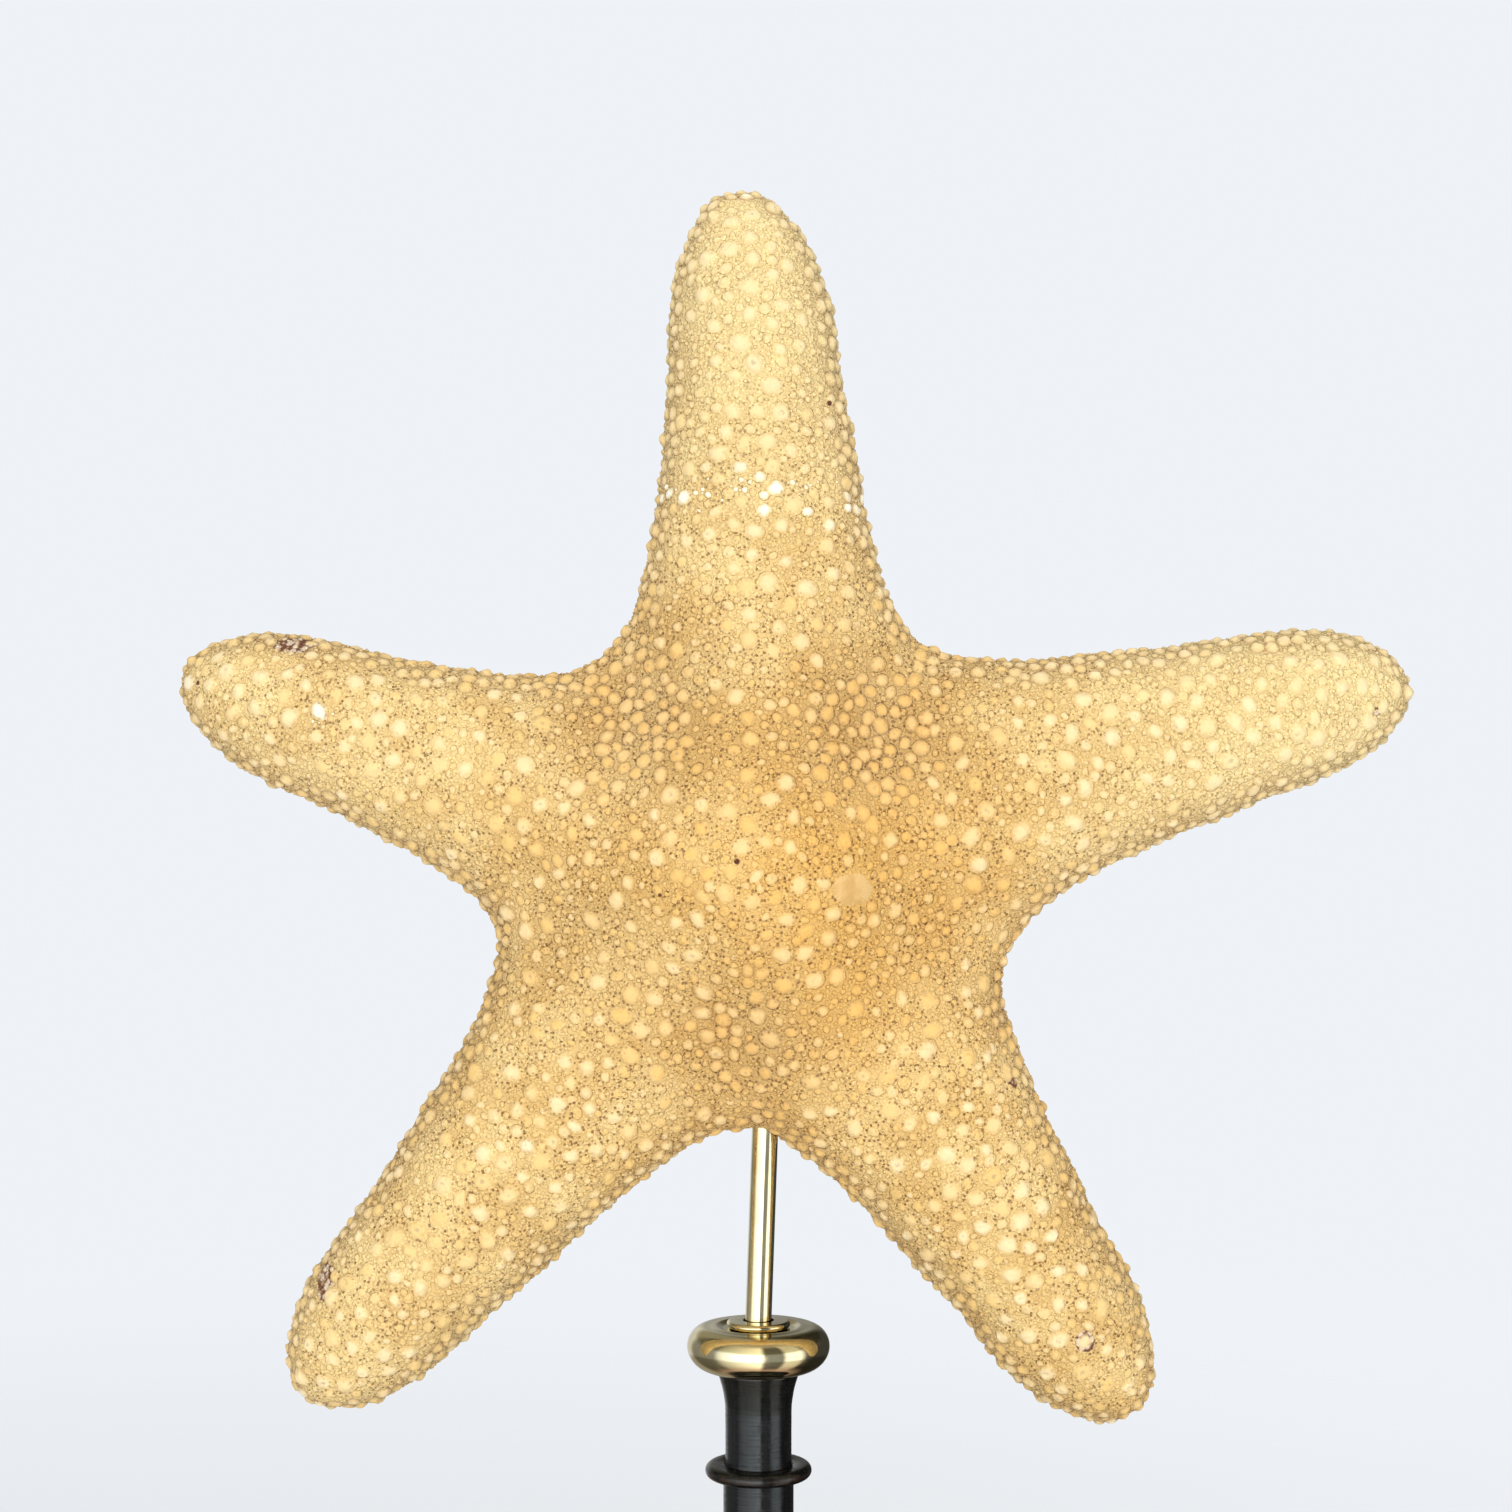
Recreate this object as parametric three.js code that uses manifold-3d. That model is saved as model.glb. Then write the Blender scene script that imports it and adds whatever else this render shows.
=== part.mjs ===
// A dried starfish fixed upright on a turned wooden stand.
//
// The starfish is one natural piece with five plump, round-tipped arms of slightly different
// lengths. A brass rod is let into its edge between the two lower arms. The rod leans a little,
// passes a brass washer and a cushion-shaped brass collar, and ends in a black turned stem, whose
// tenon sits in a round turned base.
//
// Frame: millimetres, +Z up, the starfish's knobbly upper face looks along -Y. The origin is the
// point where the stem's axis meets the surface that the base stands on.

import * as THREE from "three";
import { mergeVertices } from "three/addons/utils/BufferGeometryUtils.js";
import Module from "manifold-3d";

const wasm = await Module();
wasm.setup();

// ---------------------------------------------------------------- driving dimensions

// Arms, in the starfish's own plane: direction in degrees counterclockwise from +X, reach from the
// centre to the tip, half width where the round tip begins, and sideways bow at mid length.
const ARMS = [
  { direction: 15.5, reach: 167, halfWidth: 20.5, bow: 2.2 },
  { direction: 91, reach: 164.5, halfWidth: 21, bow: -3.6 },
  { direction: 161.5, reach: 147, halfWidth: 19.9, bow: 0.6 },
  { direction: 230, reach: 171, halfWidth: 20.5, bow: 1.7 },
  { direction: 304.5, reach: 164.5, halfWidth: 20.5, bow: 0 },
];
const TIP_LENGTH = 42; // length of an arm's rounded end
const ROOT_LENGTH = 20; // how far an arm's root reaches past the centre
const WIDTH_TAPER = 0.134; // gain in half width per mm towards the centre
const TIP_HEIGHT = 19; // height of the upper face where the tip begins
const HEIGHT_TAPER = 0.05; // gain in that height per mm towards the centre
const TIP_DEPTH = 10.5; // depth of the lower face where the tip begins
const DEPTH_TAPER = 0.01;

const DISC = { across: 7, up: 0.7, radius: 46, height: 15, depth: 10 };
const BLEND = 10; // softness of the webs between the arms

// Hollows of the upper face between the arms, as the skin sank while it dried.
const HOLLOW_RADIUS = 42; // from the centre
const HOLLOW_SPREAD = 13;
const HOLLOWS = [
  { direction: 47, depth: 8 },
  { direction: 126, depth: 7 },
  { direction: 205, depth: 5 },
  { direction: 258, depth: 7 },
  { direction: 338, depth: 7 },
];

// Food grooves of the lower face, one along each arm, which meet at the mouth.
const GROOVE = { radius: 3.4, sunk: 0.8, mouthGap: 4, tipGap: 12 };
const MOUTH = { radius: 7, sunk: 1 };

const SKIN_CELL = new THREE.Vector3(7.4, 7.4, 5.8); // tracing grid of the skin

// Stand: heights count upwards from the surface that it stands on.
const BASE = { radius: 64, height: 18, rim: 3.5, rimWidth: 7, rimHeight: 8, seat: 17 };
const STEM = { height: 107.3, radius: 8.6, neckRadius: 8.1, topRadius: 10.1, flare: 9 };
const FOOT = { radius: 11.5, height: 3, waist: 7, waistHeight: 9 }; // ring at the stem's foot
const SWELL = { radius: 12.8, bulge: 2.8, height: 30, rise: 17 }; // fattest place of the stem
const BEAD = { radius: 13, height: 3.2, below: 24.2 }; // its middle below the stem's top
const TENON = { radius: 6, length: 11 };
const COLLAR = { radius: 17.4, height: 11, waist: 6, bulge: 6.2, shoulder: 4.5 };
const RECESS = { crest: 10.3, depth: 0.6 }; // where the washer lies in the collar's top
const WASHER = { radius: 7.8, height: 1.7 };
const ROD = { radius: 3.2, lean: 2, inStem: 22, inStarfish: 34 };

const FIT_GAP = 0.3; // between a rod or tenon and its hole
const GLUE_GAP = 0.1; // between faces that are glued together
const ROD_EXPOSED = 44.8; // free length between the washer and the starfish's edge
const CENTRE_ABOVE_EDGE = 67; // from the starfish's edge at the rod up to its centre
const CENTRE_ACROSS = -1.6; // of the starfish's centre from the stem's axis

const stemBottom = BASE.height + GLUE_GAP;
const stemTop = stemBottom + STEM.height;
const collarBottom = stemTop + GLUE_GAP;
const washerSeat = collarBottom + COLLAR.height - RECESS.depth;
const washerBottom = washerSeat + GLUE_GAP;
const washerTop = washerBottom + WASHER.height;
const starfishEdge = washerTop + ROD_EXPOSED;
const starfishCentre = starfishEdge + CENTRE_ABOVE_EDGE;

// ---------------------------------------------------------------- materials

const material = (color, roughness, metalness = 0) =>
  new THREE.MeshStandardMaterial({ color, roughness, metalness });
const driedSkin = material(0xdcb877, 0.85);
const polishedBrass = material(0xc9a85a, 0.2, 1);
const blackWood = material(0x1d1b1a, 0.45);

// ---------------------------------------------------------------- the starfish's form

const radians = THREE.MathUtils.degToRad;
const bell = (distance, spread) => Math.exp(-((distance / spread) ** 2) / 2);
const ramp = (value, low, high) => THREE.MathUtils.smoothstep(value, low, high);

// A point's place along an arm and sideways from its bowed middle line.
function placeOnArm(arm, across, up) {
  const turn = radians(arm.direction);
  const along = across * Math.cos(turn) + up * Math.sin(turn);
  const share = THREE.MathUtils.clamp(along / arm.reach, 0, 1);
  const middle = arm.bow * 4 * share * (1 - share);
  return { along, aside: up * Math.cos(turn) - across * Math.sin(turn) - middle };
}

// The point of an arm's middle line at a distance from the centre.
function armMiddle(arm, along) {
  const turn = radians(arm.direction);
  const share = along / arm.reach;
  const middle = arm.bow * 4 * share * (1 - share);
  return [along * Math.cos(turn) - middle * Math.sin(turn), along * Math.sin(turn) + middle * Math.cos(turn)];
}

// Rough distance to one arm's surface: an oval bar that tapers outwards and ends in half an egg.
function armDistance(arm, { along, aside }, out) {
  const tipStart = arm.reach - TIP_LENGTH;
  const inwards = THREE.MathUtils.clamp(tipStart - along, 0, tipStart);
  const width = arm.halfWidth + WIDTH_TAPER * inwards;
  const thickness = out > 0 ? TIP_HEIGHT + HEIGHT_TAPER * inwards : TIP_DEPTH + DEPTH_TAPER * inwards;
  const end = Math.max((along - tipStart) / TIP_LENGTH, -along / ROOT_LENGTH, 0);
  return (Math.hypot(end, aside / width, out / thickness) - 1) * width;
}

function discDistance(across, up, out) {
  const thickness = out > 0 ? DISC.height : DISC.depth;
  const sideways = Math.hypot(across - DISC.across, up - DISC.up) / DISC.radius;
  return (Math.hypot(sideways, out / thickness) - 1) * DISC.radius;
}

// How far the drying hollows let the upper face sink at a point.
function sinking(across, up, out) {
  let sunk = 0;
  for (const { direction, depth } of HOLLOWS) {
    const turn = radians(direction);
    const aside = across - HOLLOW_RADIUS * Math.cos(turn);
    const above = up - HOLLOW_RADIUS * Math.sin(turn);
    sunk += depth * bell(Math.hypot(aside, above), HOLLOW_SPREAD);
  }
  return sunk * ramp(out, 0, 8);
}

// Rough distance from the starfish's skin, negative inside. across and up lie in its plane, and out
// points away from its upper face.
function skinDistance(across, up, out) {
  const parts = ARMS.map((arm) => armDistance(arm, placeOnArm(arm, across, up), out));
  parts.push(discDistance(across, up, out));
  const nearest = Math.min(...parts);
  const sum = parts.reduce((total, part) => total + Math.exp((nearest - part) / BLEND), 0);
  return nearest - BLEND * Math.log(sum) + sinking(across, up, out);
}

// ---------------------------------------------------------------- tracing a skin

// Slides a point along the field's slope towards the zero surface, without leaving its grid cell.
function settle(field, point, room) {
  const step = 0.05;
  for (let round = 0; round < 3; round++) {
    const value = field(point.x, point.y, point.z);
    const slope = new THREE.Vector3(
      field(point.x + step, point.y, point.z) - field(point.x - step, point.y, point.z),
      field(point.x, point.y + step, point.z) - field(point.x, point.y - step, point.z),
      field(point.x, point.y, point.z + step) - field(point.x, point.y, point.z - step),
    ).divideScalar(2 * step);
    room.clampPoint(point.addScaledVector(slope, -value / slope.lengthSq()), point);
  }
  return point;
}

// A closed mesh of field's zero surface by surface nets: one vertex in each grid cell that the
// surface crosses, and one four-sided face round each grid edge that it crosses.
function traceSurface(field, bounds, cell) {
  const size = bounds.getSize(new THREE.Vector3()).divide(cell).ceil();
  const count = [size.x + 1, size.y + 1, size.z + 1];
  const index = (i, j, k) => (k * count[1] + j) * count[0] + i;
  const corner = (i, j, k) => new THREE.Vector3(i, j, k).multiply(cell).add(bounds.min);
  const values = new Float64Array(count[0] * count[1] * count[2]);
  for (let k = 0; k < count[2]; k++)
    for (let j = 0; j < count[1]; j++)
      for (let i = 0; i < count[0]; i++) values[index(i, j, k)] = field(...corner(i, j, k).toArray());

  const positions = [];
  const vertexOf = new Map();
  const axes = [[1, 0, 0], [0, 1, 0], [0, 0, 1]];
  function cellVertex(i, j, k) {
    const key = index(i, j, k);
    if (vertexOf.has(key)) return vertexOf.get(key);
    const middle = new THREE.Vector3();
    let crossings = 0;
    for (let a = 0; a < 8; a++)
      for (const [dx, dy, dz] of axes) {
        const [x, y, z] = [a & 1, (a >> 1) & 1, a >> 2];
        if (x + dx > 1 || y + dy > 1 || z + dz > 1) continue;
        const here = values[index(i + x, j + y, k + z)];
        const there = values[index(i + x + dx, j + y + dy, k + z + dz)];
        if (here < 0 === there < 0) continue;
        const share = here / (here - there);
        middle.add(corner(i + x + dx * share, j + y + dy * share, k + z + dz * share));
        crossings += 1;
      }
    const room = new THREE.Box3(corner(i, j, k), corner(i + 1, j + 1, k + 1));
    settle(field, middle.divideScalar(crossings), room);
    vertexOf.set(key, positions.length / 3);
    positions.push(...middle.toArray());
    return vertexOf.get(key);
  }

  const faces = [];
  const gap = (a, b) => Math.hypot(...[0, 1, 2].map((c) => positions[3 * a + c] - positions[3 * b + c]));
  for (let k = 1; k < count[2] - 1; k++)
    for (let j = 1; j < count[1] - 1; j++)
      for (let i = 1; i < count[0] - 1; i++)
        axes.forEach(([dx, dy, dz], axis) => {
          const here = values[index(i, j, k)] < 0;
          const there = values[index(i + dx, j + dy, k + dz)] < 0;
          if (here === there) return;
          const [bx, by, bz] = axes[(axis + 1) % 3];
          const [cx, cy, cz] = axes[(axis + 2) % 3];
          const quad = [
            cellVertex(i - bx - cx, j - by - cy, k - bz - cz),
            cellVertex(i - cx, j - cy, k - cz),
            cellVertex(i, j, k),
            cellVertex(i - bx, j - by, k - bz),
          ];
          if (there) quad.reverse();
          const [a, b, c, d] = quad;
          if (gap(a, c) < gap(b, d)) faces.push(a, b, c, a, c, d);
          else faces.push(b, c, d, b, d, a);
        });
  return new THREE.BufferGeometry()
    .setAttribute("position", new THREE.Float32BufferAttribute(positions, 3))
    .setIndex(faces);
}

// ---------------------------------------------------------------- joining and cutting

function toSolid(geometry) {
  const bare = geometry.clone().deleteAttribute("normal").deleteAttribute("uv");
  const merged = mergeVertices(bare, 1e-3);
  return new wasm.Manifold(
    new wasm.Mesh({
      numProp: 3,
      vertProperties: merged.attributes.position.array,
      triVerts: new Uint32Array(merged.index.array),
    }),
  );
}

function toGeometry(solid) {
  const mesh = solid.getMesh();
  const geometry = new THREE.BufferGeometry()
    .setAttribute("position", new THREE.BufferAttribute(mesh.vertProperties, 3))
    .setIndex(new THREE.BufferAttribute(mesh.triVerts, 1));
  geometry.computeVertexNormals();
  return geometry;
}

const cut = (geometry, ...tools) =>
  toGeometry(tools.reduce((solid, tool) => solid.subtract(toSolid(tool)), toSolid(geometry)));

// ---------------------------------------------------------------- round pieces

// A turned piece about +Z from [radius, height] pairs, listed from the bottom up.
function turned(profile, sides) {
  const points = profile.map(([radius, height]) => new THREE.Vector2(radius, height));
  return new THREE.LatheGeometry(points, sides).rotateX(Math.PI / 2);
}

// Points of a quarter or half round on a profile, from one angle to another in degrees.
function round(radius, height, bulge, rise, from, to, steps) {
  return Array.from({ length: steps + 1 }, (_, i) => {
    const angle = radians(THREE.MathUtils.lerp(from, to, i / steps));
    return [radius + bulge * Math.cos(angle), height + rise * Math.sin(angle)];
  });
}

// The leaning rod's line: it crosses the stem's axis at the washer's top.
function alongRod(geometry, from, to) {
  return geometry
    .rotateX(Math.PI / 2)
    .translate(0, 0, (from + to) / 2 - washerTop)
    .rotateY(radians(ROD.lean))
    .translate(0, 0, washerTop);
}

const rodBottom = stemTop - ROD.inStem;
const rodTop = starfishEdge + ROD.inStarfish;
const rodBar = (radius, from, to) =>
  alongRod(new THREE.CylinderGeometry(radius, radius, to - from, 24), from, to);

function makeRod() {
  return rodBar(ROD.radius, rodBottom, rodTop);
}

function makeWasher() {
  const bore = ROD.radius + 2 * FIT_GAP;
  const rim = WASHER.height / 2;
  return turned(
    [
      [bore, 0],
      ...round(WASHER.radius - rim, rim, rim, rim, -90, 90, 3),
      [bore, WASHER.height],
      [bore, 0],
    ],
    20,
  );
}

function makeCollar() {
  const bore = ROD.radius + 3 * FIT_GAP;
  const recess = WASHER.radius + 1;
  const { radius, height, waist, bulge, shoulder } = COLLAR;
  return turned(
    [
      [bore, 0],
      [STEM.topRadius, 0],
      ...round(radius - bulge, waist, bulge, waist * 0.96, -70, 0, 4),
      ...round(radius - shoulder, waist, shoulder, height - waist - 0.2, 22, 90, 4),
      [RECESS.crest, height],
      [recess, height - RECESS.depth],
      [bore, height - RECESS.depth],
      [bore, 0],
    ],
    28,
  );
}

function makeStem() {
  const bead = STEM.height - BEAD.below;
  const half = BEAD.height / 2;
  const socket = -TENON.length;
  const body = turned(
    [
      [0, socket],
      [TENON.radius, socket],
      [TENON.radius, 0],
      [FOOT.radius, 0],
      [FOOT.radius, FOOT.height],
      [(FOOT.radius + FOOT.waist) / 2, FOOT.height + 2],
      [FOOT.waist, FOOT.waistHeight],
      ...round(SWELL.radius - SWELL.bulge, SWELL.height, SWELL.bulge, SWELL.rise, -60, 90, 5),
      [STEM.radius, bead - 12],
      [STEM.radius, bead - half - 0.7],
      ...round(BEAD.radius - half, bead, half, half, -90, 90, 4),
      [STEM.neckRadius, bead + half + 0.4],
      [STEM.neckRadius, STEM.height - STEM.flare],
      [STEM.neckRadius + 0.7, STEM.height - STEM.flare / 2],
      [STEM.topRadius, STEM.height],
      [0, STEM.height],
    ],
    24,
  ).translate(0, 0, stemBottom);
  return cut(body, rodBar(ROD.radius + FIT_GAP, rodBottom - FIT_GAP, washerTop));
}

function makeBase() {
  const socket = TENON.radius + FIT_GAP;
  const floor = BASE.height - TENON.length - 2 * FIT_GAP;
  const sweep = BASE.radius / 2; // width of the hollow curve between rim and seat
  return turned(
    [
      [0, 0],
      [BASE.radius - BASE.rim / 2, 0],
      ...round(BASE.radius - BASE.rim, BASE.rim + 0.5, BASE.rim, BASE.rim, -45, 90, 3),
      [BASE.radius - BASE.rimWidth, BASE.rimHeight],
      ...round(BASE.radius - BASE.rimWidth - 1, BASE.height - 1, sweep, BASE.rimHeight, -100, -165, 4),
      [BASE.seat + 3, BASE.height - 1.2],
      [BASE.seat, BASE.height],
      [socket, BASE.height],
      [socket, floor],
      [0, floor],
    ],
    32,
  );
}

// Depth of the lower face below a point of the starfish's plane, by halving.
function lowerFace(across, up) {
  let [outside, inside] = [-30, 0];
  for (let round = 0; round < 20; round++) {
    const middle = (outside + inside) / 2;
    if (skinDistance(across, up, middle) < 0) inside = middle;
    else outside = middle;
  }
  return inside;
}

// A round-nosed cutter that follows an arm's lower face from the mouth to near its tip.
function grooveCutter(arm) {
  const steps = 7;
  const path = Array.from({ length: steps + 1 }, (_, i) => {
    const along = THREE.MathUtils.lerp(GROOVE.mouthGap, arm.reach - GROOVE.tipGap, i / steps);
    const [across, up] = armMiddle(arm, along);
    return new THREE.Vector3(across, up, lowerFace(across, up) + GROOVE.sunk);
  });
  const section = new THREE.Shape().absarc(0, 0, GROOVE.radius, 0, 2 * Math.PI);
  const extrudePath = new THREE.CatmullRomCurve3(path);
  return new THREE.ExtrudeGeometry(section, { steps, curveSegments: 4, extrudePath });
}

function mouthCutter() {
  const ball = new THREE.SphereGeometry(MOUTH.radius, 10, 6);
  return ball.translate(0, 0, lowerFace(0, 0) + MOUTH.sunk);
}

function makeStarfish() {
  const reach = Math.max(...ARMS.map((arm) => arm.reach));
  const bounds = new THREE.Box3(
    new THREE.Vector3(-reach - 10, -reach - 10, -24),
    new THREE.Vector3(reach + 10, reach + 10, 46),
  );
  const skin = traceSurface(skinDistance, bounds, SKIN_CELL);
  const grooved = cut(skin, mouthCutter(), ...ARMS.map(grooveCutter));
  const upright = grooved.rotateX(Math.PI / 2).translate(CENTRE_ACROSS, 0, starfishCentre);
  return cut(upright, rodBar(ROD.radius + FIT_GAP, washerTop, rodTop + FIT_GAP));
}

// ---------------------------------------------------------------- the assembly

const group = new THREE.Group();

function add(name, geometry, finish, height = 0) {
  const mesh = new THREE.Mesh(geometry, finish);
  mesh.name = name;
  mesh.position.z = height;
  group.add(mesh);
}

add("starfish", makeStarfish(), driedSkin);
add("rod", makeRod(), polishedBrass);
add("washer", makeWasher(), polishedBrass, washerBottom);
add("collar", makeCollar(), polishedBrass, collarBottom);
add("stem", makeStem(), blackWood);
add("base", makeBase(), blackWood);

export default group;
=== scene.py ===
# %% [markdown]
# # A dried starfish on a turned stand
# This lesson builds the looks of a large dried starfish that stands upright on a brass rod. The
# sizes come from a finished CAD frame, so nothing here decides how big the object is. Each step
# makes one thing: the room, the skin, the knobs on it, the mouth side, and the turned stand.

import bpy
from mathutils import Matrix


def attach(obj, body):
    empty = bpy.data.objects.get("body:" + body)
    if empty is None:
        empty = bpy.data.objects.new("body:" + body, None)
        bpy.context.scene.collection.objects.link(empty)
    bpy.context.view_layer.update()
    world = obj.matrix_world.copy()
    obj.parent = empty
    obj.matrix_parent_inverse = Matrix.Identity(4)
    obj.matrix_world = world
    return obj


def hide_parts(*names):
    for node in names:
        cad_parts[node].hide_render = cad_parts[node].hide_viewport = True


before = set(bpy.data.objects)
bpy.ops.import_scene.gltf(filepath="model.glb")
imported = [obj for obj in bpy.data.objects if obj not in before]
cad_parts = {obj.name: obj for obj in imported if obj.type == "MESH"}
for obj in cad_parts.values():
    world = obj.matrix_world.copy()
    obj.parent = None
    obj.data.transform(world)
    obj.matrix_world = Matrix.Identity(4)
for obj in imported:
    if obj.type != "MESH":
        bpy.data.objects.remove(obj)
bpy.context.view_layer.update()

# %% [markdown]
# A few helpers keep the later cells short. `add_node` makes one node of any tree and wires or sets
# its inputs, so a material or a Geometry Nodes tree reads like a list of what happens.

# %% Helpers
import math

import bmesh
import bpy
import numpy as np
from mathutils import Matrix, Vector, noise
from mathutils.bvhtree import BVHTree

MM = 0.001


def add_node(tree, kind, inputs=None, **settings):
    """Adds a node. A value in inputs that is a socket is linked, any other is set."""
    made = tree.nodes.new(kind)
    for name, value in settings.items():
        setattr(made, name, value)
    for key, value in (inputs or {}).items():
        if isinstance(value, bpy.types.NodeSocket):
            tree.links.new(value, made.inputs[key])
        else:
            made.inputs[key].default_value = value
    return made


def maths(tree, operation, *values):
    return add_node(tree, "ShaderNodeMath", dict(enumerate(values)), operation=operation).outputs[0]


def times(tree, first, second):
    return maths(tree, "MULTIPLY", first, second)


def between(tree, value, low, high, start=0.0, end=1.0, kind="SMOOTHSTEP"):
    """Takes value from low..high to start..end, smoothly or in the given kind of line."""
    limits = {"Value": value, "From Min": low, "From Max": high, "To Min": start, "To Max": end}
    return add_node(tree, "ShaderNodeMapRange", limits, interpolation_type=kind).outputs["Result"]


def blend_colours(tree, share, first, second, mode="MIX"):
    made = add_node(tree, "ShaderNodeMix", {0: share}, data_type="RGBA", blend_type=mode)
    for socket, value in ((made.inputs[6], first), (made.inputs[7], second)):
        if isinstance(value, bpy.types.NodeSocket):
            tree.links.new(value, socket)
        else:
            socket.default_value = value
    return made.outputs[2]


def mix_shaders(tree, share, first, second):
    return add_node(tree, "ShaderNodeMixShader", {0: share, 1: first, 2: second}).outputs[0]


def mesh_of(form, name):
    """The mesh of a finished form."""
    mesh = bpy.data.meshes.new(name)
    form.to_mesh(mesh)
    form.free()
    return mesh


def show(name, mesh):
    """Links a new object for a mesh to the scene."""
    piece = bpy.data.objects.new(name, mesh)
    bpy.context.scene.collection.objects.link(piece)
    return piece


def baked(piece, name):
    """A plain mesh of a piece with its modifiers applied."""
    graph = bpy.context.evaluated_depsgraph_get()
    mesh = bpy.data.meshes.new_from_object(piece.evaluated_get(graph), depsgraph=graph)
    mesh.name = name
    return mesh


def triangles(mesh):
    mesh.calc_loop_triangles()
    return len(mesh.loop_triangles)


# %% [markdown]
# The room is plain: a pale floor that fades into a pale surround, so that no horizon shows. The
# world shows each kind of ray something else. The camera sees the pale backdrop, matt surfaces a
# dimmer one, which leaves the lamps room to shape the knobs, and polished brass and wood see a dim
# room with two bright windows, because brass looks like brass only when it has contrast to mirror.

# %% Floor
BACKDROP = (0.86, 0.89, 0.93, 1)
FLOOR_COLOUR = (0.82, 0.83, 0.84, 1)
FLOOR_RADIUS = 2.4
FLOOR_FADE = (0.12, 0.85)  # distances over which the floor melts into the surround


def make_floor():
    material = bpy.data.materials.new("pale_floor")
    material.use_nodes = True
    tree = material.node_tree
    tree.nodes.clear()
    place = add_node(tree, "ShaderNodeTexCoord").outputs["Object"]
    away = add_node(tree, "ShaderNodeVectorMath", {0: place}, operation="LENGTH").outputs["Value"]
    paint = add_node(tree, "ShaderNodeBsdfDiffuse", {"Color": FLOOR_COLOUR})
    clear = add_node(tree, "ShaderNodeBsdfTransparent")
    fade = between(tree, away, *FLOOR_FADE)
    mixed = mix_shaders(tree, fade, paint.outputs[0], clear.outputs[0])
    add_node(tree, "ShaderNodeOutputMaterial", {"Surface": mixed})
    form = bmesh.new()
    bmesh.ops.create_circle(form, cap_ends=True, segments=96, radius=FLOOR_RADIUS)
    mesh = mesh_of(form, "floor")
    mesh.materials.append(material)
    floor = show("floor", mesh)
    floor.visible_glossy = False


make_floor()

# %% Surround
ROOM_LIGHT = 0.55
ROOM_AROUND = [  # degrees to the right of straight ahead, and how bright the room is there
    (-180, 0.3), (-168, 0.7), (-142, 0.7), (-130, 0.26), (-76, 0.3), (-67, 1.0), (3, 3.0),
    (11, 0.3), (40, 0.3), (48, 1.8), (72, 1.6), (84, 0.15), (100, 0.05), (160, 0.05), (180, 0.3),
]
ROOM_UP = [  # sine of the height above level, and the colour of the room there
    (-1.0, (0.40, 0.26, 0.19)),
    (-0.93, (0.50, 0.33, 0.25)),
    (-0.80, (0.38, 0.30, 0.24)),
    (-0.65, (0.48, 0.44, 0.36)),
    (-0.37, (0.55, 0.53, 0.47)),
    (-0.29, (1.0, 1.0, 0.98)),
    (0.26, (1.0, 1.0, 0.98)),
    (0.40, (0.45, 0.42, 0.31)),
    (0.70, (0.39, 0.35, 0.25)),
    (1.0, (0.42, 0.33, 0.21)),
]
STEEP = (0.75, 0.95)  # sines of height between which it no longer matters which way one looks


def ramp(tree, value, stops):
    """Colours by a value from 0 to 1, joined in straight lines."""
    node = add_node(tree, "ShaderNodeValToRGB", {0: value})
    elements = node.color_ramp.elements
    while len(elements) < len(stops):
        elements.new(0.5)
    for element, (place, colour) in zip(elements, stops):
        element.position = place
        element.color = (*colour, 1)
    return node.outputs[0]


def mirrored_room(tree):
    """What polished brass and wood see in each direction."""
    sight = add_node(tree, "ShaderNodeTexCoord").outputs["Generated"]
    part = add_node(tree, "ShaderNodeSeparateXYZ", {0: sight}).outputs
    turn = maths(tree, "ARCTAN2", part["X"], times(tree, part["Y"], -1.0))
    levels = [((degrees + 180) / 360, (level,) * 3) for degrees, level in ROOM_AROUND]
    around = ramp(tree, between(tree, turn, -math.pi, math.pi, kind="LINEAR"), levels)
    steep = between(tree, maths(tree, "ABSOLUTE", part["Z"]), *STEEP)
    around = blend_colours(tree, steep, around, (1, 1, 1, 1))
    heights = [((sine + 1) / 2, colour) for sine, colour in ROOM_UP]
    up = ramp(tree, between(tree, part["Z"], -1, 1, kind="LINEAR"), heights)
    return blend_colours(tree, 1.0, around, up, "MULTIPLY")


def make_surround():
    world = bpy.data.worlds.new("pale_surround")
    bpy.context.scene.world = world
    world.use_nodes = True
    world.cycles.sampling_method = "NONE"  # so that each kind of ray finds its own room
    tree = world.node_tree
    tree.nodes.clear()
    rays = add_node(tree, "ShaderNodeLightPath").outputs
    room, mirrored, backdrop = (
        add_node(tree, "ShaderNodeBackground", {"Color": colour, "Strength": strength}).outputs[0]
        for colour, strength in ((BACKDROP, ROOM_LIGHT), (mirrored_room(tree), 1.0), (BACKDROP, 1.0))
    )
    lit = mix_shaders(tree, rays["Is Glossy Ray"], room, mirrored)
    seen = mix_shaders(tree, rays["Is Camera Ray"], lit, backdrop)
    add_node(tree, "ShaderNodeOutputWorld", {"Surface": seen})


make_surround()
bpy.context.scene.view_settings.view_transform = "Standard"

# %% [markdown]
# The lamps are broad and soft. The strongest one stands low in front and a little to the left, so
# the arms' upper flanks and the hollows between them fall away into shade. A weak one on the right
# and one above keep the shade open, and one behind lights the back.

# %% Lamps
TARGET = Vector((0, 0, 0.25))
LAMPS = {
    "key": {"place": (-0.14, -1.25, 0.24), "size": (1.0, 0.9), "watts": 14.8},
    "side": {"place": (0.95, -0.75, 0.35), "size": (0.3, 1.0), "watts": 3},
    "top": {"place": (-0.2, -0.3, 1.5), "size": (1.0, 1.0), "watts": 6},
    "back": {"place": (0.5, 1.3, 0.7), "size": (1.2, 1.2), "watts": 10},
}


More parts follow.
